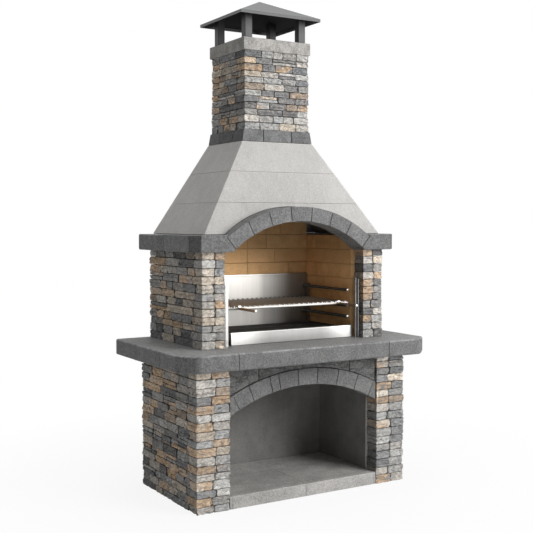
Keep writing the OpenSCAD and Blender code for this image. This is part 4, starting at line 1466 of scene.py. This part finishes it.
@dataclass
class Grid(Assembly):
    """Cooking grid with its two handles."""

    clamp_l: float = 0.026
    clamp_w: float = 0.016
    clamp_rise: float = 0.005
    end_l: float = 0.011
    end_w: float = 0.008
    end_rise: float = 0.001
    tail_rise: float = 0.0045
    heavy: float = 0.005
    body: str = "cooking_grid"

    def build(self) -> None:
        """Builds the grid."""
        for node, ending, finish, slot, edge in (
                ("grid_frame", "welded", self.finishes.welded, "stainless", 0.0012),
                ("grid_bars", "drawn", self.finishes.bars, "stainless", 0.0005),
                ("handle_rods", "drawn", self.finishes.rod, "dark_steel", 0.0004)):
            Casting(finish, slot, self.body, edge=edge, steps=2).build(self.nodes, ending, node)
        Fittings(self.nodes, self.finishes).caps("handle_caps", self.body, self.finishes.bright)
        self.brackets()
        self.bar_ends()

    def blocks(self, name: str, finish: Material, width: float,
               outlines: list[tuple[float, list[tuple[float, float, float]]]]) -> None:
        """Builds small steel blocks as one piece.

        Args:
            name: The piece's name.
            finish: Its material.
            width: Width of each block.
            outlines: Each block's middle along X and its corners in Y and Z, with their radii.
        """
        form = Form()
        for x, corners in outlines:
            form.extrude(rounded_outline(corners), x - width / 2, x + width / 2)
        show(name, form.mesh(name, True), finish, self.body, "stainless")

    def bar_ends(self) -> None:
        """Builds the heavy bars' bright front ends and their dark, turned-up back ends."""
        fronts, backs = [], []
        for low, high in boxes(self.nodes["grid_bars"]):
            if high.x - low.x < self.heavy:
                continue
            foot = low.z - self.end_rise
            for ends, near, far, top in (
                    (fronts, low.y, low.y + self.end_l, high.z + self.end_rise),
                    (backs, high.y - self.end_l, high.y, high.z + self.tail_rise)):
                ends.append(((low.x + high.x) / 2, [(far, foot, 0.0), (far, top, 0.003),
                                                    (near, top, 0.003), (near, foot, 0.0)]))
        self.blocks("grid_bar_ends", self.finishes.clamp, self.end_w, fronts)
        self.blocks("grid_bar_tails", self.finishes.dark, self.end_w, backs)

    def brackets(self) -> None:
        """Builds the clamps that hold the two handle rods on the grid."""
        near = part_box("grid_frame")[0].y - 0.003
        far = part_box("grid_frame")[0].y + self.clamp_l
        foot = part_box("grid_bars")[1].z - 0.006
        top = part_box("grid_bars")[1].z + self.clamp_rise
        self.blocks("handle_clamps", self.finishes.clamp, self.clamp_w,
                    [((low.x + high.x) / 2, [(far, foot, 0.0), (far, top, 0.003),
                                             (near, top, 0.005), (near, foot, 0.0)])
                     for low, high in boxes(self.nodes["handle_rods"])])


@dataclass
class Studio:
    """Floor, lights, world and camera."""

    lens: float = 62.78
    stand: Place = (-2.8174, -4.6263, 1.5265)
    yaw: float = 30.856
    pitch: float = -2.717
    floor_half: float = 40.0
    floor_z: float = -0.0005
    fade: tuple[float, float] = (0.8, 2.4)
    veil: float = 0.89
    ambient: float = 0.15
    overhead: float = 190.0
    key: float = 455.0
    side: float = 70.0

    def camera(self) -> None:
        """Adds the camera at the photograph's place."""
        data = bpy.data.cameras.new("camera")
        data.lens = self.lens
        data.sensor_width = 36.0
        data.clip_end = 200.0
        camera = placed("camera", data, self.stand)
        camera.rotation_euler = (math.radians(90 + self.pitch), 0, math.radians(-self.yaw))
        bpy.context.scene.camera = camera

    def lamp(self, name: str, place: Place, aim: float, size: float, power: float) -> None:
        """Adds an area lamp.

        Args:
            name: Its name.
            place: Where it hangs.
            aim: Height of the point above the frame's origin that it faces.
            size: Length of its sides.
            power: Its power in watts.
        """
        data = bpy.data.lights.new(name, "AREA")
        data.size = size
        data.energy = power
        lamp = placed(name, data, place)
        way = Vector((0, 0, aim)) - Vector(place)
        lamp.rotation_euler = way.to_track_quat("-Z", "Y").to_euler()
        lamp.visible_camera = False

    def world(self) -> None:
        """Makes the world white to the camera and in reflections, and plain as a light."""
        world = bpy.data.worlds.new("studio")
        bpy.context.scene.world = world
        recipe = Recipe(world)
        strength = recipe.add(
            "ShaderNodeMapRange", {"Value": recipe.seen(), "To Min": self.ambient})
        glow = recipe.add("ShaderNodeBackground", {"Color": (1, 1, 1, 1), "Strength": strength})
        recipe.add("ShaderNodeOutputWorld", {"Surface": glow})

    def floor(self) -> None:
        """Lays the pale floor, which fades into the white background away from the object."""
        recipe = Recipe.named("studio_floor")
        matt = recipe.add("ShaderNodeBsdfDiffuse", {"Color": (0.86, 0.86, 0.86, 1.0)})
        white = recipe.add("ShaderNodeEmission", {"Strength": 1.0})
        away = recipe.add("ShaderNodeVectorMath", {0: recipe.place}, out="Value",
                          operation="LENGTH")
        near, far = self.fade
        veil = recipe.add(
            "ShaderNodeMapRange",
            {"Value": away, "From Min": near, "From Max": far, "To Min": self.veil, "To Max": 1.0})
        share = recipe.seen() * veil
        floor = recipe.add("ShaderNodeMixShader", {0: share, 1: matt, 2: white})
        recipe.add("ShaderNodeOutputMaterial", {"Surface": floor})
        half = self.floor_half
        mesh = bpy.data.meshes.new("floor")
        mesh.from_pydata([(-half, -half, 0), (half, -half, 0), (half, half, 0), (-half, half, 0)],
                         [], [(0, 1, 2, 3)])
        mesh.materials.append(recipe.owner)
        floor = placed("floor", mesh, (0.0, 0.0, self.floor_z))
        floor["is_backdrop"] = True

    def build(self) -> None:
        """Sets up the whole studio."""
        bpy.context.scene.view_settings.view_transform = "Standard"
        self.camera()
        self.world()
        self.floor()
        self.lamp("overhead", (0.3, -0.4, 6.5), 0.8, 5.0, self.overhead)
        self.lamp("key", (3.7, -5.75, 3.1), 1.2, 3.6, self.key)
        self.lamp("side", (-5.2, 4.0, 3.2), 1.2, 3.5, self.side)


def plain(box: Box) -> list[list[float]]:
    """A box as plain lists of numbers."""
    return [list(corner) for corner in box]


def main() -> None:
    """Builds the whole scene."""
    logging.basicConfig(level=logging.INFO, format="%(message)s")
    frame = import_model()
    cad_box = plain(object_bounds())
    finishes = Finishes()
    masonry = Masonry(frame["nodes"], finishes)
    masonry.facings()
    masonry.worktop()
    masonry.mantel()
    masonry.linings()
    Chimney(frame["nodes"], finishes).build()
    Fittings(frame["nodes"], finishes).build()
    Tray(frame["nodes"], finishes).build()
    Grid(frame["nodes"], finishes).build()
    Studio().build()
    {"cad": cad_box, "visual": plain(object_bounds())}


if __name__ == "__main__":
    main()
